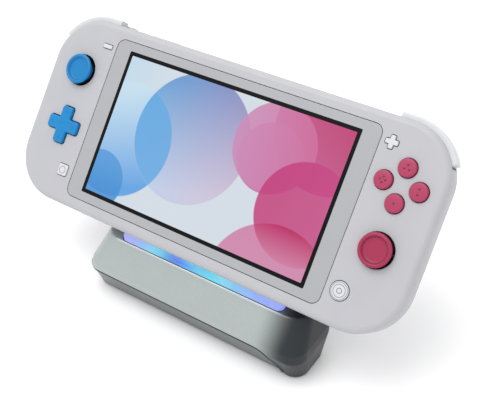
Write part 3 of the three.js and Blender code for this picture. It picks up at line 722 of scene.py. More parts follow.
def repeatAtPlaces(name, element, places, material):
    mesh = bpy.data.meshes.new(name)
    mesh.from_pydata([tuple(place) for place in places], [], [])
    piece = repeat(newObject(name, mesh), "places", Element=element, Material=material)
    old = element.data
    bpy.data.objects.remove(element)
    bpy.data.meshes.remove(old)
    return piece


def joinInto(cutter, *others):
    work = bmesh.new()
    work.from_mesh(cutter.data)
    for other in others:
        work.from_mesh(other.data)
        old = other.data
        bpy.data.objects.remove(other)
        bpy.data.meshes.remove(old)
    work.to_mesh(cutter.data)
    work.free()
    return cutter


print("tools ready")

# console shells
shellPlan = {
    "stickHole": 7.9, "faceHole": 4.3, "padX": -86, "padY": -9.1,
    "faces": {"a": (95, 19.2), "b": (87, 11.4), "x": (87, 27), "y": (79, 19.2)},
    "ventCount": 12, "ventPitch": 2.8, "ventWidth": 1.4, "ventTop": -6.2, "ventBottom": -10.6,
    "slotPitch": 2.6, "speakerX": 59, "intakeCount": 9, "intakePitch": 3.2,
    "plugDepth": -9.8, "jackX": 34, "jackDepth": -9,
}
panelSize = {"width": 142.6, "height": 80.8, "corner": 4}
smallKeys = {
    "minus_button": {"body": "key_minus", "x": -76.5, "y": 34.6},
    "plus_button": {"body": "key_plus", "x": 76.6, "y": 35},
    "capture_button": {"body": "key_capture", "x": -77.4, "y": -30.2},
    "home_button": {"body": "key_home", "x": 78.3, "y": -30.6},
}


def smallKeyOutline(name):
    x, y = smallKeys[name]["x"], smallKeys[name]["y"]
    return {
        "minus_button": roundedRect(5.2, 2, 0.45, x, y, 5),
        "plus_button": cross(5.8, 2.1, 0.4, 0.2, x, y, 3),
        "capture_button": roundedRect(5.6, 5.6, 0.8, x, y, 5),
        "home_button": circle(4.15, x, y, 56),
    }[name]


def grown(outline, amount):
    return lambda inset=0: outline(inset - amount)


bodyOutline = roundedRect(console["width"], console["height"], console["corner"], steps=20)
innerOutline = roundedRect(
    console["width"] - 2 * console["wall"], console["height"] - 2 * console["wall"],
    console["corner"] - console["wall"], steps=14)
seamFront = -console["seam"] + console["seamGap"]
seamBack = -console["seam"] - console["seamGap"]

bands = {
    "shoulderRoom": (75, 25, 6, 4.4), "triggerRoom": (72.5, 30, 6, 10),
    "shoulder": (75.5, 27.5, 2.4, 3.2), "trigger": (73.2, 33, 1.4, 9),
}
sides = {"left": -1, "right": 1}

frontProfile = [(0.15, seamFront), (0, seamFront + 0.15)] + edges(seamFront, 0, 0, console["edge"], 9)[1:]
frontShell = build("frontShell", plate(bodyOutline, frontProfile))
holeCutters = [
    plate(innerOutline, [(0, -9), (0, -2.6), (0.8, -console["wall"])]),
    opening(roundedRect(panelSize["width"] + 0.5, panelSize["height"] + 0.5, panelSize["corner"] + 0.25,
                        steps=8), -2.5, 0, 0.1),
    opening(circle(shellPlan["stickHole"], -console["stickX"], console["leftStickY"], 80), -2.5, 0, 0.2),
    opening(circle(shellPlan["stickHole"], console["stickX"], console["rightStickY"], 80), -2.5, 0, 0.2),
    opening(cross(19.3, 7.1, 1.4, 0.3, shellPlan["padX"], shellPlan["padY"]), -2.5, 0, 0.2),
]
for x, y in shellPlan["faces"].values():
    holeCutters.append(opening(circle(shellPlan["faceHole"], x, y, 56), -2.5, 0, 0.2))
for name in smallKeys:
    holeCutters.append(opening(grown(smallKeyOutline(name), 0.35), -2.5, 0, 0.05))
carve(frontShell, build("frontCutters", *holeCutters))
for side in sides.values():
    carve(frontShell, build("cornerCutter", plate(
        cornerBand(side, *bands["shoulderRoom"]), [(0, -9), (0, -2.1)])))
finish(frontShell, consoleSeat, "console", "shell_grey", finishes["shell"], "front_shell")
print("front shell cut")

rearProfile = edges(-console["depth"], seamBack, console["edge"], 0, 9)[:-1]
rearProfile += [(0, seamBack - 0.15), (0.15, seamBack)]
rearShell = build("rearShell", plate(bodyOutline, rearProfile))
edgeKeys = {
    "power_button": {"body": "key_power", "x": -64, "half": 3},
    "volume_rocker": {"body": "key_volume", "x": -50, "half": 8},
}
covers = {
    "game_card_cover": {"body": "card_cover", "x": 53, "half": 12, "front": -5.6, "back": -10.6, "side": 1},
    "memory_card_cover": {"body": "memory_cover", "x": -70, "half": 7, "front": -5.4, "back": -9.8,
                          "side": -1},
}


def edgeCutter(outlineXZ, y0, y1):
    # an outline in x and depth, pushed up the console's face from y0 to y1
    def maker(work):
        points = outlineXZ(0)
        addRings(work, [[(px, y0, pz) for px, pz in points], [(px, y1, pz) for px, pz in points]])
    return maker


rearCutters = [plate(innerOutline, [(0.9, -console["depth"] + console["wall"]),
                                    (0, -console["depth"] + console["wall"] + 0.9), (0, -2)])]
carve(rearShell, build("hollow", *rearCutters))
edgeCutters = [edgeCutter(roundedRect(2 * key["half"] + 0.6, 3.4, 1.5, key["x"], -7, 6), 41, 50)
               for key in edgeKeys.values()]
for cover in covers.values():
    middle = (cover["front"] + cover["back"]) / 2
    deep = cover["front"] - cover["back"] + 0.5
    start, end = (42, 50) if cover["side"] > 0 else (-50, -42)
    edgeCutters.append(edgeCutter(
        roundedRect(2 * cover["half"] + 0.5, deep, 0.8, cover["x"], middle, 4), start, end))
edgeCutters.append(edgeCutter(circle(1.85, shellPlan["jackX"], shellPlan["jackDepth"], 32), 42, 50))
edgeCutters.append(edgeCutter(roundedRect(10.2, 4.6, 2.25, 0, shellPlan["plugDepth"], 8), -50, -42))
ventHeight = shellPlan["ventTop"] - shellPlan["ventBottom"]
ventMiddle = (shellPlan["ventTop"] + shellPlan["ventBottom"]) / 2
ventCutters = repeat(
    build("ventCutter", edgeCutter(roundedRect(shellPlan["ventWidth"], ventHeight, 0.6, 0, 0, 4), 41, 50)),
    "line", Count=shellPlan["ventCount"], Material=finishes["shell"],
    First=(-(shellPlan["ventCount"] - 1) / 2 * shellPlan["ventPitch"], 0, ventMiddle),
    Step=(shellPlan["ventPitch"], 0, 0))
intakeCutters = repeat(
    build("intakeCutter", plate(roundedRect(1.4, 8, 0.68, 0, 30, 5), [(0, -15), (0, -11)])),
    "line", Count=shellPlan["intakeCount"], Material=finishes["shell"],
    First=(-(shellPlan["intakeCount"] - 1) / 2 * shellPlan["intakePitch"], 0, 0),
    Step=(shellPlan["intakePitch"], 0, 0))
speakerCutters = []
for side, count, first in ((1, 5, -2), (-1, 4, -1)):
    slot = build("slotCutter", edgeCutter(roundedRect(1.2, 3.2, 0.55, 0, -8.4, 4), -50, -42))
    start = side * (shellPlan["speakerX"] + (first if side > 0 else -2) * shellPlan["slotPitch"])
    speakerCutters.append(repeat(
        slot, "line", Count=count, First=(start, 0, 0), Material=finishes["shell"],
        Step=(side * shellPlan["slotPitch"], 0, 0)))
screwPlaces = [(-74.3, 27, 0), (74.3, 27, 0), (-95, -27, 0), (95, -27, 0)]
screwCutters = [plate(circle(2.1, x, y, 28), [(-0.3, -15), (-0.3, -13.9), (0, -13.6), (0, -12.6)])
                for x, y, _ in screwPlaces]
carve(rearShell, joinInto(build("edgeCutters", *edgeCutters, *screwCutters),
                          ventCutters, intakeCutters, *speakerCutters))
for side in sides.values():
    carve(rearShell, build("shoulderCutter", plate(
        cornerBand(side, *bands["shoulderRoom"]), [(0, -8.7), (0, -1)])))
    carve(rearShell, build("triggerCutter", plate(
        cornerBand(side, *bands["triggerRoom"]), [(0, -20), (0, -8.5)])))
finish(rearShell, consoleSeat, "console", "shell_grey", finishes["shell"], "rear_shell")
print("rear shell cut")

# rear screws: a pan head with a cross recess
screwPlan = {"head": 1.75, "top": -13.5, "under": -12.9, "shank": 0.8, "tip": -5, "slot": 0.36}
screw = build("screwElement", lathe([
    (0, screwPlan["top"]), (1.2, screwPlan["top"]), (1.6, screwPlan["top"] + 0.15),
    (screwPlan["head"], screwPlan["top"] + 0.4), (screwPlan["head"], screwPlan["under"]),
    (screwPlan["shank"], screwPlan["under"]), (screwPlan["shank"], screwPlan["tip"]),
    (0, screwPlan["tip"])], steps=28))
carve(screw, build("recess", plate(cross(2.2, screwPlan["slot"], 0.05, 0.05, steps=2),
                                   [(0, -14), (0, -13.05)])))
rearScrews = repeatAtPlaces("rearScrews", screw, screwPlaces, finishes["steel"])
finish(rearScrews, consoleSeat, "console", "steel", finishes["steel"],
       "shell_screw_1", "shell_screw_2", "shell_screw_3", "shell_screw_4")

# screen
screenPlan = {"top": -0.05, "bottom": -1.25, "borderWidth": 125.6, "borderHeight": 72.3}
bezel = build("screenBezel", plate(
    roundedRect(panelSize["width"], panelSize["height"], panelSize["corner"], steps=12),
    edges(screenPlan["bottom"], screenPlan["top"], 0, 0.3, 4)))
carve(bezel, build("bezelHole", plate(
    roundedRect(screenPlan["borderWidth"], screenPlan["borderHeight"], 0.6, steps=5), [(0, -3), (0, 1)])))
finish(bezel, consoleSeat, "console", "panel_grey", finishes["bezel"], "screen_panel")
border = build("screenBorder", plate(
    roundedRect(screenPlan["borderWidth"] - 0.06, screenPlan["borderHeight"] - 0.06, 0.57, steps=5),
    [(0, screenPlan["bottom"]), (0, screenPlan["top"] - 0.03), (0.05, screenPlan["top"])]))
carve(border, build("borderHole", plate(
    roundedRect(picture["width"], picture["height"], 0.3, steps=3), [(0, -3), (0, 1)])))
finish(border, consoleSeat, "console", "screen_black", finishes["glassBlack"])


def addUv(piece, width, height):
    # the screen's own map, from its lower left corner
    layer = piece.data.uv_layers.new(name="screen")
    for loop in piece.data.loops:
        spot = piece.data.vertices[loop.vertex_index].co
        layer.data[loop.index].uv = (spot.x / width + 0.5, spot.y / height + 0.5)


display = build("screenPicture", plate(
    roundedRect(picture["width"] - 0.06, picture["height"] - 0.06, 0.27, steps=3),
    [(0, screenPlan["bottom"]), (0, screenPlan["top"] - 0.03), (0.05, screenPlan["top"])]))
addUv(display, picture["width"], picture["height"])
finish(display, consoleSeat, "console", "screen_image", finishes["screen"])
print("screen lit")

# sticks
stickPlan = {
    "stem": 3.3, "stemTop": 0.9, "domeRadius": 5.6, "rim": 3.2, "domeInside": 4.55,
    # (radius, height) pairs: up under the brim, round its edge, then across the dished top
    "underside": [(3.6, 1.1), (4.4, 1.3), (5.6, 1.65), (6.5, 1.95), (7.1, 2.2)],
    "brim": [(7.38, 2.45), (7.42, 2.7), (7.36, 3.0), (7.2, 3.25), (6.9, 3.48), (6.5, 3.58), (6.15, 3.54)],
    "dish": [(5.9, 3.35), (5.7, 2.85), (5.4, 2.5), (4.6, 2.38), (3.6, 2.34), (1.8, 2.32), (0, 2.32)],
    "ridgeCount": 60, "ridgeRadius": 7.4, "ridgeSize": 0.26, "ridgeCorner": 0.08,
    "ridgeProfile": [(0.06, 2.4), (0, 2.5), (0, 2.8), (0.06, 2.95)],
    # painted shade ring in the dish's inner corner: outer and inner radius, bottom and top
    "shadeRingOuter": 5.68, "shadeRingInner": 5.3, "shadeRingBottom": 2.3, "shadeRingTop": 2.68,
}


def stickProfile():
    pivot = console["stickPivot"]
    rimHeight = pivot + stickPlan["rim"]
    profile = [(0, rimHeight), (stickPlan["domeInside"], rimHeight)]
    startAngle = math.asin(stickPlan["rim"] / stickPlan["domeRadius"])
    endAngle = math.acos(stickPlan["stem"] / stickPlan["domeRadius"])
    for step in range(9):
        angle = startAngle + (endAngle - startAngle) * step / 8
        profile.append((stickPlan["domeRadius"] * math.cos(angle),
                        pivot + stickPlan["domeRadius"] * math.sin(angle)))
    profile.append((stickPlan["stem"], stickPlan["stemTop"]))
    return profile + stickPlan["underside"] + stickPlan["brim"] + stickPlan["dish"]


for side, y, slot in (("left", console["leftStickY"], "blue"), ("right", console["rightStickY"], "pink")):
    x = sides[side] * console["stickX"]
    cap = build(f"{side}StickCap", lathe(stickProfile(), x, y, 96))
    finish(cap, consoleSeat, f"{side}_cap", f"{slot}_plastic", finishes[slot],
           f"{side}_stick_cap", smooth=50)
    ridgeOutline = roundedRect(stickPlan["ridgeSize"], stickPlan["ridgeSize"], stickPlan["ridgeCorner"],
                               stickPlan["ridgeRadius"], 0, 2)
    ridge = build("ridgeElement", plate(ridgeOutline, stickPlan["ridgeProfile"]))
    ridges = repeat(ridge, "ring", Count=stickPlan["ridgeCount"], Radius=0.001, Material=finishes[slot])
    finish(ridges, consoleSeat @ Matrix.Translation((x, y, 0)), f"{side}_cap",
           f"{slot}_plastic", finishes[slot])
    # painted shade: a thin dark ring in the inner corner of the dished top stands in for the shade on the
    # dish's wall
    shadeRing = build(f"{side}StickGroove", plate(
        circle(stickPlan["shadeRingOuter"], x, y, 80),
        [(0, stickPlan["shadeRingBottom"]), (0, stickPlan["shadeRingTop"])]))
    carve(shadeRing, build("grooveHole", plate(circle(stickPlan["shadeRingInner"], x, y, 80), [(0, 2), (0, 3)])))
    finish(shadeRing, consoleSeat, f"{side}_cap", f"{slot}_plastic", finishes[f"{slot}Mark"])
print("sticks turned")

# direction pad and face buttons
padPlan = {
    "span": 18.5, "arm": 6.3, "outer": 1.2, "inner": 0.45, "top": 1.6, "round": 0.7, "bottom": -3.4,
    "flange": 9.8, "flangeBottom": -3.5, "flangeTop": -2.8,
    "arrowSize": 0.95, "arrowReach": 6.6,
    "dimple": [(0, 1.35), (1.0, 1.42), (1.9, 1.62), (2.4, 2.4), (0, 2.4)],
}
padX, padY = shellPlan["padX"], shellPlan["padY"]
padProfile = edges(padPlan["bottom"], padPlan["top"], 0, padPlan["round"], 5)
padProfile += [(1.1, padPlan["top"] + 0.02), (1.6, padPlan["top"] - 0.05)]
pad = build("directionPad", plate(
    cross(padPlan["span"], padPlan["arm"], padPlan["outer"], padPlan["inner"], padX, padY), padProfile))
carve(pad, build("padFlange", plate(
    circle(padPlan["flange"], padX, padY, 64),
    [(0, padPlan["flangeBottom"]), (0, padPlan["flangeTop"])])), "UNION")
carve(pad, build("padDimple", lathe(padPlan["dimple"], padX, padY, 48)))
finish(pad, consoleSeat, "d_pad_cross", "blue_plastic", finishes["blue"], "d_pad")


def arrow(angle):
    # a small triangle near the end of an arm
    def outline(inset=0):
        size = padPlan["arrowSize"] - inset
        reach = padPlan["arrowReach"]
        points = []
        for corner in (0, 120, 240):
            spot = math.radians(angle + corner)
            away = math.radians(angle)
            points.append((padX + reach * math.cos(away) + size * math.cos(spot),
                           padY + reach * math.sin(away) + size * math.sin(spot)))
        return points
    return plate(outline, [(0, 1.3), (0, 1.57), (0.06, 1.6)])


arrows = build("padArrows", *[arrow(angle) for angle in (0, 90, 180, 270)])
finish(arrows, consoleSeat, "d_pad_cross", "blue_plastic", finishes["blueMark"])

faceButtonPlan = {
    "radius": 4.0, "bottom": -3.3, "top": 1.5, "round": 0.55, "flange": 4.9, "flangeTop": -2.5,
    "dish": [(2.9, 1.44), (2.2, 1.47), (1.2, 1.49), (0, 1.5)],
    "pipReach": 1.25, "pip": [(0, 1.3), (0.5, 1.3), (0.5, 1.5), (0.4, 1.56), (0, 1.58)],
}
pips = {"b": 1, "a": 2, "x": 3, "y": 4}
for letter, (x, y) in shellPlan["faces"].items():
    profile = [(0, faceButtonPlan["bottom"]), (faceButtonPlan["flange"], faceButtonPlan["bottom"]),
               (faceButtonPlan["flange"], faceButtonPlan["flangeTop"]),
               (faceButtonPlan["radius"], faceButtonPlan["flangeTop"])]
    for inset, z in edges(-2.4, faceButtonPlan["top"] - 0.1, 0, faceButtonPlan["round"], 5):
        profile.append((faceButtonPlan["radius"] - inset, z))
    profile += faceButtonPlan["dish"]
    button = build(f"button{letter.upper()}", lathe(profile, x, y, 64))
    finish(button, consoleSeat, f"key_{letter}", "pink_plastic", finishes["pinkButton"],
           f"button_{letter}", smooth=50)
    count = pips[letter]
    spots = []
    for index in range(count):
        angle = 2 * math.pi * index / count + math.pi / 2
        reach = 0 if count == 1 else faceButtonPlan["pipReach"]
        spots.append((x + reach * math.cos(angle), y + reach * math.sin(angle), 0))
    pip = build("pipElement", lathe(faceButtonPlan["pip"], 0, 0, 20))
    mark = repeatAtPlaces(f"button{letter.upper()}Pips", pip, spots, finishes["pinkMark"])
    finish(mark, consoleSeat, f"key_{letter}", "pink_plastic", finishes["pinkMark"])
print("pad and buttons pressed in")

# small keys
smallKeyPlan = {"bottom": -3.1, "flangeTop": -2.4, "top": 0.55, "round": 0.3}
flanges = {"minus_button": 3.6, "plus_button": 3.6, "capture_button": 4.2, "home_button": 5}
for name, key in smallKeys.items():
    cap = build(name.replace("_button", "Key"), plate(
        smallKeyOutline(name),
        edges(smallKeyPlan["bottom"], smallKeyPlan["top"], 0, smallKeyPlan["round"], 4)))
    carve(cap, build("flange", plate(
        circle(flanges[name], key["x"], key["y"], 48),
        [(0, smallKeyPlan["bottom"] - 0.001), (0, smallKeyPlan["flangeTop"])])), "UNION")
    finish(cap, consoleSeat, key["body"], "white_plastic", finishes["white"], name)


def ringMark(name, key, outer, inner, material):
    # a thin raised ring on a key's top
    x, y = smallKeys[key]["x"], smallKeys[key]["y"]
    top = smallKeyPlan["top"]
    mark = build(name, plate(circle(outer, x, y, 48), [(0, top - 0.2), (0, top), (0.05, top + 0.04)]))
    carve(mark, build("markHole", plate(circle(inner, x, y, 48), [(0, -1), (0, 2)])))
    return finish(mark, consoleSeat, smallKeys[key]["body"], "white_plastic", material)


ringMark("homeRim", "home_button", 3.84, 3.56, finishes["greyMark"])
ringMark("homeRing", "home_button", 2.9, 2.6, finishes["greyMark"])
ringMark("homeDot", "home_button", 1.3, 0.9, finishes["greyMark"])
ringMark("captureRing", "capture_button", 1.9, 1.6, finishes["greyMark"])
print("small keys placed")

# shoulders, triggers, edge keys and covers
for word, side in sides.items():
    shoulder = build(f"{word}Shoulder", plate(
        cornerBand(side, *bands["shoulder"]), edges(-8.3, -2.5, 0.7, 0.9, 5)))
    finish(shoulder, consoleSeat, f"shoulder_{word}", "white_plastic", finishes["white"],
           f"{word}_shoulder", smooth=40)
    trigger = build(f"{word}Trigger", plate(
        cornerBand(side, *bands["trigger"]), edges(-15.6, -8.9, 1.8, 0.6, 7)))
    finish(trigger, consoleSeat, f"trigger_{word}", "white_plastic", finishes["white"],
           f"{word}_trigger", smooth=40)


def addEdgePiece(work, outlineXZ, y0, y1, side, rounding, steps=3):
    # like a plate, but raised out of the console's top or bottom edge
    low, high = (y0, y1) if side > 0 else (-y1, -y0)
    profile = edges(low, high, 0 if side > 0 else rounding, rounding if side > 0 else 0, steps)
    addRings(work, [[(px, y, pz) for px, pz in outlineXZ(inset)] for inset, y in profile])


for name, key in edgeKeys.items():
    outline = roundedRect(2 * key["half"], 2.8, 1.3, key["x"], -7, 8)
    made = build(name.replace("_", ""), lambda work: addEdgePiece(
        work, outline, halfHeight - 2.95, halfHeight + 0.45, 1, 0.35))
    finish(made, consoleSeat, key["body"], "shell_grey", finishes["shell"], name)
for name, cover in covers.items():
    middle = (cover["front"] + cover["back"]) / 2
    outline = roundedRect(2 * cover["half"], cover["front"] - cover["back"], 0.7, cover["x"], middle, 5)
    made = build(name.replace("_", ""), lambda work: addEdgePiece(
        work, outline, halfHeight - 1.4, halfHeight, cover["side"], 0.15))
    finish(made, consoleSeat, cover["body"], "shell_grey", finishes["shell"], name)
print("edge controls placed")

# dock
dockPlan = {
    "middle": 9, "top": 29.6, "bottom": 0.8, "wall": 2.2,
    # z, front, back, half width, corner radius
    "rings": [(0.8, -3.4, 21, 60.5, 7), (12.5, -7.6, 26, 61.5, 8), (16.9, -7.15, 28, 61, 8.5),
              (29.6, 3.1, 30, 57.5, 11)],
    "bends": (1.0, 0.6, 1.0),
}


def ringPoints(front, back, half, radius, z, steps=14):
    outline = roundedRect(2 * half, back - front, radius, dockPlan["middle"], (front + back) / 2, steps)
    return [(px, py, z) for px, py in outline(0)]


def between(first, second, share):
    return tuple(a + (b - a) * share for a, b in zip(first, second))


def softened(stations, reaches, steps=6):
    # replaces each inner station by a short curve that starts and ends `reach` millimetres away
    out = [stations[0]]
    for index in range(1, len(stations) - 1):
        before, here, after = stations[index - 1], stations[index], stations[index + 1]
        reach = reaches[index - 1]
        start = between(here, before, min(0.5, reach / max(1e-6, math.dist(here[:2], before[:2]))))
        end = between(here, after, min(0.5, reach / max(1e-6, math.dist(here[:2], after[:2]))))
        for step in range(steps + 1):
            share = step / steps
            out.append(between(between(start, here, share), between(here, end, share), share))
    out.append(stations[-1])
    return out


def dockSolid(name, inset, bottom, top, roundTop=True):
    stations = []
    for index, (z, front, back, half, radius) in enumerate(dockPlan["rings"]):
        height = bottom if index == 0 else top if index == len(dockPlan["rings"]) - 1 else z
        stations.append((height, front + inset, back - inset, half - inset, radius - inset))
    if roundTop:
        z, front, back, half, radius = stations[-1]
        stations.append((z, front + 1.6, back - 1.6, half - 1.6, radius - 1.6))
        stations = softened(stations, dockPlan["bends"])
    rings = [ringPoints(front, back, half, radius, z) for z, front, back, half, radius in stations]
    return build(name, lambda work: addRings(work, rings))


tail = {"half": 34, "front": 17, "back": 59, "top": 9.6, "corner": 10}


def tailOutline(inset=0, front=tail["front"]):
    return roundedRect(2 * (tail["half"] - inset), tail["back"] - front - 2 * inset, tail["corner"] - inset,
                       dockPlan["middle"], (tail["back"] + front) / 2, 10)


arch = {"left": -70, "bottom": -1, "top": 14.4, "bendStart": 46, "bendPull": 58, "bendEnd": 62.5, "back": 6}


def fasciaArch(grow):
    # the fascia's opening: square at the left, arched down to the floor at the right
    def maker(work):
        top = arch["top"] + grow
        points = [(arch["left"], arch["bottom"]), (arch["left"], top)]
        start, pull = (arch["bendStart"], top), (arch["bendPull"] + grow, top)
        end = (arch["bendEnd"] + grow, arch["bottom"])
        for step in range(25):
            share = step / 24
            points.append(between(between(start, pull, share), between(pull, end, share), share))
        addRings(work, [[(px, y, pz) for px, pz in points] for y in (-15, arch["back"] + grow)])
    return maker


strip = {
    "left": -37, "right": 54, "front": 3.9, "back": 10.2, "bottom": 25.9, "blockTop": 34,
    "linerOuter": 0.48, "linerInner": 0.04, "linerBelow": 0.12,
    "frontSlope": [(0, 29.2), (3.5, 29.2), (10, 36), (10, 60), (0, 60)],
    "plugRoom": (-5.9, 5.9, 4.65, 20, 20, 40),
}


def stripOutline(grow):
    width = strip["right"] - strip["left"] + 2 * grow
    depth = strip["back"] - strip["front"] + 2 * grow
    return roundedRect(width, depth, depth / 2 - 0.01, (strip["left"] + strip["right"]) / 2,
                       (strip["front"] + strip["back"]) / 2, 12)


def inletOutline(width, height, radius):
    return roundedRect(width, height, radius, dockPlan["middle"], 5.2, 8)


def throughWall(outlineXZ, y0, y1):
    points = outlineXZ(0)
    return lambda work: addRings(
        work, [[(px, y0, pz) for px, pz in points], [(px, y1, pz) for px, pz in points]])


dockShell = dockSolid("dockHousing", 0, dockPlan["bottom"], dockPlan["top"])
tailBlock = build("tailBlock", plate(tailOutline(), edges(dockPlan["bottom"], tail["top"], 0, 1.6, 6)))
carve(dockShell, tailBlock, "UNION")
room = dockSolid("room", dockPlan["wall"], -1, dockPlan["top"] - 2, False)
carve(dockShell, room)
carve(dockShell, build("tailRoom", plate(
    tailOutline(dockPlan["wall"], tail["front"] - 8), [(0, -3), (0, tail["top"] - 1.8)])))
carve(dockShell, build("fasciaCutter", fasciaArch(0)))
carve(dockShell, build("troughCutter", opening(stripOutline(0.5), 24.5, dockPlan["top"], 0.05)))
carve(dockShell, build("inletCutter", throughWall(inletOutline(10.2, 4.6, 2.25), 55, 62)))
finish(dockShell, dockSeat, "dock", "dock_silver", finishes["silver"], "dock_shell", smooth=28)

fascia = dockSolid("dockFascia", 1.0, 1.2, dockPlan["top"] - 1, False)
carve(fascia, dockSolid("fasciaRoom", 3.2, -0.2, dockPlan["top"] - 4, False))
carve(fascia, build("fasciaTrim", fasciaArch(-1.6)), "INTERSECT")
finish(fascia, dockSeat, "dock", "dock_slate", finishes["slate"], "dock_fascia", smooth=28)

# a rolled lip along the top of the fascia's opening, following the housing round its left corner; a black
# bead under it is painted shade, standing in for the shadow line in the gap above the fascia
lipPlan = {"radius": 0.5, "raise": 0, "back": 0.25, "around": 12, "cornerSteps": 12,
           "shadeBeadRadius": 0.8, "shadeBeadRaise": -1.1, "shadeBeadBack": 0.8}


def housingAt(z):
    rings = dockPlan["rings"]
    for low, high in zip(rings, rings[1:]):
        if z <= high[0]:
            return between(low, high, max(0, (z - low[0]) / (high[0] - low[0])))
    return rings[-1]


def lipPath():
    z, front, back, half, radius = housingAt(arch["top"])
    points = []
    for step in range(lipPlan["cornerSteps"]):
        angle = math.pi + math.pi / 2 * step / lipPlan["cornerSteps"]
        points.append(Vector((dockPlan["middle"] - half + radius * (1 + math.cos(angle)),
                              front + radius * (1 + math.sin(angle)), z)))
    start, pull = (arch["bendStart"], arch["top"]), (arch["bendPull"], arch["top"])
    end = (arch["bendEnd"], arch["bottom"])
    for step in range(25):
        share = step / 24
        x, z = between(between(start, pull, share), between(pull, end, share), share)
        if z > dockPlan["bottom"] + lipPlan["shadeBeadRadius"] - lipPlan["shadeBeadRaise"]:
            points.append(Vector((x, housingAt(z)[1], z)))
    return points


def tube(path, radius, around):
    def maker(work):
        rings = []
        for index, spot in enumerate(path):
            ahead = (path[min(index + 1, len(path) - 1)] - path[max(index - 1, 0)]).normalized()
            across = ahead.cross(Vector((0, 1, 0.001))).normalized()
            outward = across.cross(ahead).normalized()
            ring = []
            for step in range(around):
                angle = 2 * math.pi * step / around
                ring.append(spot + radius * (math.cos(angle) * across + math.sin(angle) * outward))
            rings.append(ring)
        addRings(work, rings)
    return maker


def alongLip(name, back, up, radius):
    foremost = dockPlan["rings"][1][1] + radius + 0.02
    path = [Vector((spot.x, max(spot.y + back, foremost), spot.z + up)) for spot in lipPath()]
    return build(name, tube(path, radius, lipPlan["around"]))


lip = alongLip("housingLip", lipPlan["back"], lipPlan["raise"], lipPlan["radius"])
finish(lip, dockSeat, "dock", "dock_silver", finishes["silver"], smooth=60)
# painted shade: a black bead under the lip, standing in for the shadow in the gap above the fascia
shadeBead = alongLip("fasciaGasket", lipPlan["shadeBeadBack"], lipPlan["shadeBeadRaise"], lipPlan["shadeBeadRadius"])
finish(shadeBead, dockSeat, "dock", "black_plastic", finishes["black"], smooth=60)
print("dock housing made")

basePlate = build("dockBasePlate", plate(
    roundedRect(112, 17.6, 7, dockPlan["middle"], 8.3, 8), [(0.2, 0.8), (0, 1.0), (0, 2.6)]))
carve(basePlate, build("baseTail", plate(
    roundedRect(62.6, 46, 7, dockPlan["middle"], 33.2, 8), [(0.2, 0.8), (0, 1.0), (0, 2.6)])), "UNION")
footSpots = [(-48, 5), (48, 5), (-24, 49), (24, 49)]
feetPockets = [plate(circle(4.9, dockPlan["middle"] + x, y, 40), [(0, 0), (0, 1.9)]) for x, y in footSpots]
baseScrews = [(-36, 12, 0), (36, 12, 0), (-14, 30, 0), (14, 30, 0)]
baseScrews = [(dockPlan["middle"] + x, y, z) for x, y, z in baseScrews]
screwWells = [plate(circle(2.3, x, y, 28), [(0, 0), (0, 1.7)]) for x, y, _ in baseScrews]
carve(basePlate, build("pockets", *feetPockets, *screwWells))
finish(basePlate, dockSeat, "dock", "dock_slate", finishes["black"], "dock_base_plate")
baseScrew = build("baseScrewElement", lathe([
    (0, 0.95), (1.4, 0.95), (1.9, 1.1), (2.0, 1.4), (2.0, 1.65), (0, 1.65)], steps=24))
carve(baseScrew, build("recess", plate(cross(2.2, 0.4, 0.05, 0.05, steps=2), [(0, 0), (0, 1.3)])))
screws = repeatAtPlaces("dockScrews", baseScrew, baseScrews, finishes["steel"])
finish(screws, dockSeat, "dock", "steel", finishes["steel"])
for index, (x, y) in enumerate(footSpots):
    foot = build(f"dockFoot{index + 1}", lathe([
        (0, 0), (3.7, 0), (4.2, 0.1), (4.5, 0.4), (4.5, 1.6), (0, 1.6)],
        dockPlan["middle"] + x, y, 40))
    finish(foot, dockSeat, "dock", "rubber", finishes["rubber"], f"dock_foot_{index + 1}")

consoleToDock = dockSeat.inverted() @ consoleSeat


def inDock(maker):
    # a shape given in the console's frame, as it lies in the dock's
    def moved(work):
        local = bmesh.new()
        maker(local)
        bmesh.ops.transform(local, matrix=consoleToDock, verts=local.verts)
        mesh = bpy.data.meshes.new("moved")
        local.to_mesh(mesh)
        local.free()
        work.from_mesh(mesh)
        bpy.data.meshes.remove(mesh)
    return moved


def sideways(section, x0, x1):
    # a section in y and z, pushed along x
    return lambda work: addRings(work, [[(x, py, pz) for py, pz in section] for x in (x0, x1)])


aboveSeat = inDock(boxed(-120, 120, -halfHeight - 0.55, 60, -60, 60))
lightBar = build("lightBar", plate(stripOutline(0), [(0, strip["bottom"]), (0, strip["blockTop"])]))
carve(lightBar, build("seatCut", aboveSeat))
carve(lightBar, build("frontCut", sideways(strip["frontSlope"], -60, 80)))
carve(lightBar, build("plugCut", boxed(*strip["plugRoom"])))
finish(lightBar, dockSeat, "dock", "glow_strip", finishes["glow"], "light_bar")

liner = build("troughLiner", plate(
    stripOutline(strip["linerOuter"]),
    [(0, strip["bottom"]), (0, dockPlan["top"] - strip["linerBelow"])]))
carve(liner, build("linerHole", plate(stripOutline(strip["linerInner"]), [(0, 20), (0, 40)])))
finish(liner, dockSeat, "dock", "black_plastic", finishes["black"])

plugPlan = {
    "blockWidth": 11, "blockDepth": 4.9, "blockCorner": 0.5, "blockY": 7.45,
    "blockBottom": 22.5, "blockTop": 36,
    "width": 8.3, "thick": 2.6, "corner": 1.28, "start": -47.1, "end": -40.15, "round": 0.3,
    "roomHalf": 3.6, "roomStart": -45.95, "roomEnd": -39, "roomThick": 0.65,
}
plugBody = build("chargePlug", plate(
    roundedRect(plugPlan["blockWidth"], plugPlan["blockDepth"], plugPlan["blockCorner"],
                0, plugPlan["blockY"], 4),
    [(0, plugPlan["blockBottom"]), (0, plugPlan["blockTop"])]))
carve(plugBody, build("seatCut", aboveSeat))
finish(plugBody, dockSeat, "dock", "glow_strip", finishes["glow"], "charge_plug")


def alongFace(outlineXZ, y0, y1, rounding=0.0):
    def maker(work):
        profile = edges(y0, y1, 0, rounding, 3)
        addRings(work, [[(px, y, pz) for px, pz in outlineXZ(inset)] for inset, y in profile])
    return maker


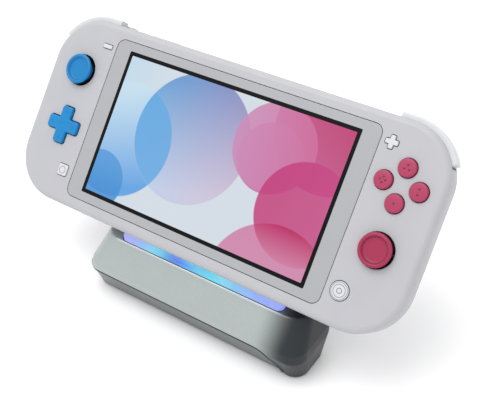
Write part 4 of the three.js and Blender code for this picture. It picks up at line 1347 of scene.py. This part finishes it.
plugDepth = shellPlan["plugDepth"]
plugTip = build("plugTip", alongFace(
    roundedRect(plugPlan["width"], plugPlan["thick"], plugPlan["corner"], 0, plugDepth, 8),
    plugPlan["start"], plugPlan["end"], plugPlan["round"]))
carve(plugTip, build("tongueRoom", boxed(
    -plugPlan["roomHalf"], plugPlan["roomHalf"], plugPlan["roomStart"], plugPlan["roomEnd"],
    plugDepth - plugPlan["roomThick"], plugDepth + plugPlan["roomThick"])))
finish(plugTip, consoleSeat, "dock", "steel", finishes["steel"])
print("dock fittings made")

# back rest and its rubber pad
restPlan = {"half": 30, "bottom": 29.9, "height": 51, "padHeight": 48, "front": 15.6, "rear": 19.5}
lean = math.atan2(faceUp.y, faceUp.z)
edgeHeight = lowerEdge.z / mm


def besideBack(up, off):
    return (math.sin(lean) * up + math.cos(lean) * off,
            edgeHeight + math.cos(lean) * up - math.sin(lean) * off)


def besideBackAt(z, off):
    return besideBack((z - edgeHeight + math.sin(lean) * off) / math.cos(lean), off)


restMiddle = dockPlan["middle"]
backRest = build("backRest", sideways([
    besideBackAt(restPlan["bottom"], restPlan["front"]), besideBack(restPlan["height"], restPlan["front"]),
    besideBack(restPlan["height"], restPlan["rear"]), (29, restPlan["bottom"])],
    restMiddle - restPlan["half"], restMiddle + restPlan["half"]))
carve(backRest, build("restTrim", inDock(plate(
    roundedRect(2 * restPlan["half"], 120, 10, restMiddle, restPlan["height"] - halfHeight - 60, 10),
    [(0, -60), (0, 0)]))), "INTERSECT")
restHole = inDock(plate(roundedRect(19, 12, 5, restMiddle, -10, 8), [(0, -60), (0, 0)]))
carve(backRest, build("restHole", restHole))
rounding = backRest.modifiers.new("softEdges", "BEVEL")
rounding.width = 0.8
rounding.segments = 3
rounding.limit_method = "ANGLE"
rounding.angle_limit = math.radians(40)
settle(backRest)
finish(backRest, dockSeat, "dock", "dock_silver", finishes["silver"], "back_rest", smooth=40)

restPad = build("restPad", sideways([
    (10.9, restPlan["bottom"]), (10.9, restPlan["bottom"] + 0.75),
    besideBackAt(restPlan["bottom"] + 0.75, 14.25), besideBack(restPlan["padHeight"], 14.25),
    besideBack(restPlan["padHeight"], 15.3), besideBackAt(restPlan["bottom"], 15.3)],
    restMiddle - restPlan["half"] + 3, restMiddle + restPlan["half"] - 3))
carve(restPad, build("padHole", restHole))
finish(restPad, dockSeat, "dock", "rubber", finishes["rubber"], "rest_pad")
print("back rest made")

# carried-over CAD pieces get their finishes
carried = {
    "black": ["display_module", "fan_housing", "fan_rotor", "headphone_jack", "left_speaker",
              "right_speaker", "left_stick_base", "right_stick_base"],
    "steel": ["mid_frame", "charge_socket", "game_card_reader", "power_inlet"],
    "darkSteel": ["left_stick_yoke", "right_stick_yoke", "left_stick_shaft", "right_stick_shaft"],
    "foil": ["battery"],
    "copper": ["heat_sink"],
    "board": ["main_board", "led_board", "dock_board"],
    "rubber": ["d_pad_rubber", "face_button_membrane"],
}
for finishName, names in carried.items():
    for name in names:
        node = frame["nodes"][name]
        node.data.materials.clear()
        node.data.materials.append(finishes[finishName])

# studio
studio = {
    "floorSize": 12, "floorColour": (0.9, 0.9, 0.905), "worldTop": (1.0, 1.0, 1.0), "worldStrength": 0.98,
    "key": {"at": (-0.8, -0.8, 2.9), "size": 2.2, "power": 50},
    "back": {"at": (-0.3, 1.0, 1.2), "size": 0.9, "power": 3},
}
floorMesh = bpy.data.meshes.new("floor")
half = studio["floorSize"] / 2
floorCorners = [(-half, -half, 0), (half, -half, 0), (half, half, 0), (-half, half, 0)]
floorMesh.from_pydata(floorCorners, [], [(0, 1, 2, 3)])
floor = newObject("floor", floorMesh)
floorMaterial, floorTree, floorShader = startMaterial("paleFloor", studio["floorColour"], 0.6)
floorShader.inputs["Specular IOR Level"].default_value = 0.2
varyColour(floorTree, floorShader, studio["floorColour"], 0.004, 200)
floorMesh.materials.append(floorMaterial)

world = bpy.data.worlds.new("studioWorld")
bpy.context.scene.world = world
world.use_nodes = True
background = world.node_tree.nodes["Background"]
background.inputs["Color"].default_value = (*studio["worldTop"], 1)
background.inputs["Strength"].default_value = studio["worldStrength"]


def addLamp(name, plan, target=(0, 0, 0.05)):
    data = bpy.data.lights.new(name, "AREA")
    data.shape = "SQUARE"
    data.size = plan["size"]
    data.energy = plan["power"]
    lamp = bpy.data.objects.new(name, data)
    bpy.context.scene.collection.objects.link(lamp)
    lamp.location = plan["at"]
    aim = Vector(target) - Vector(plan["at"])
    lamp.rotation_mode = "QUATERNION"
    lamp.rotation_quaternion = aim.to_track_quat("-Z", "Y")
    return lamp


for name in ("key", "back"):
    addLamp(name, studio[name])
bpy.context.scene.view_settings.view_transform = "Standard"
print("studio lit")
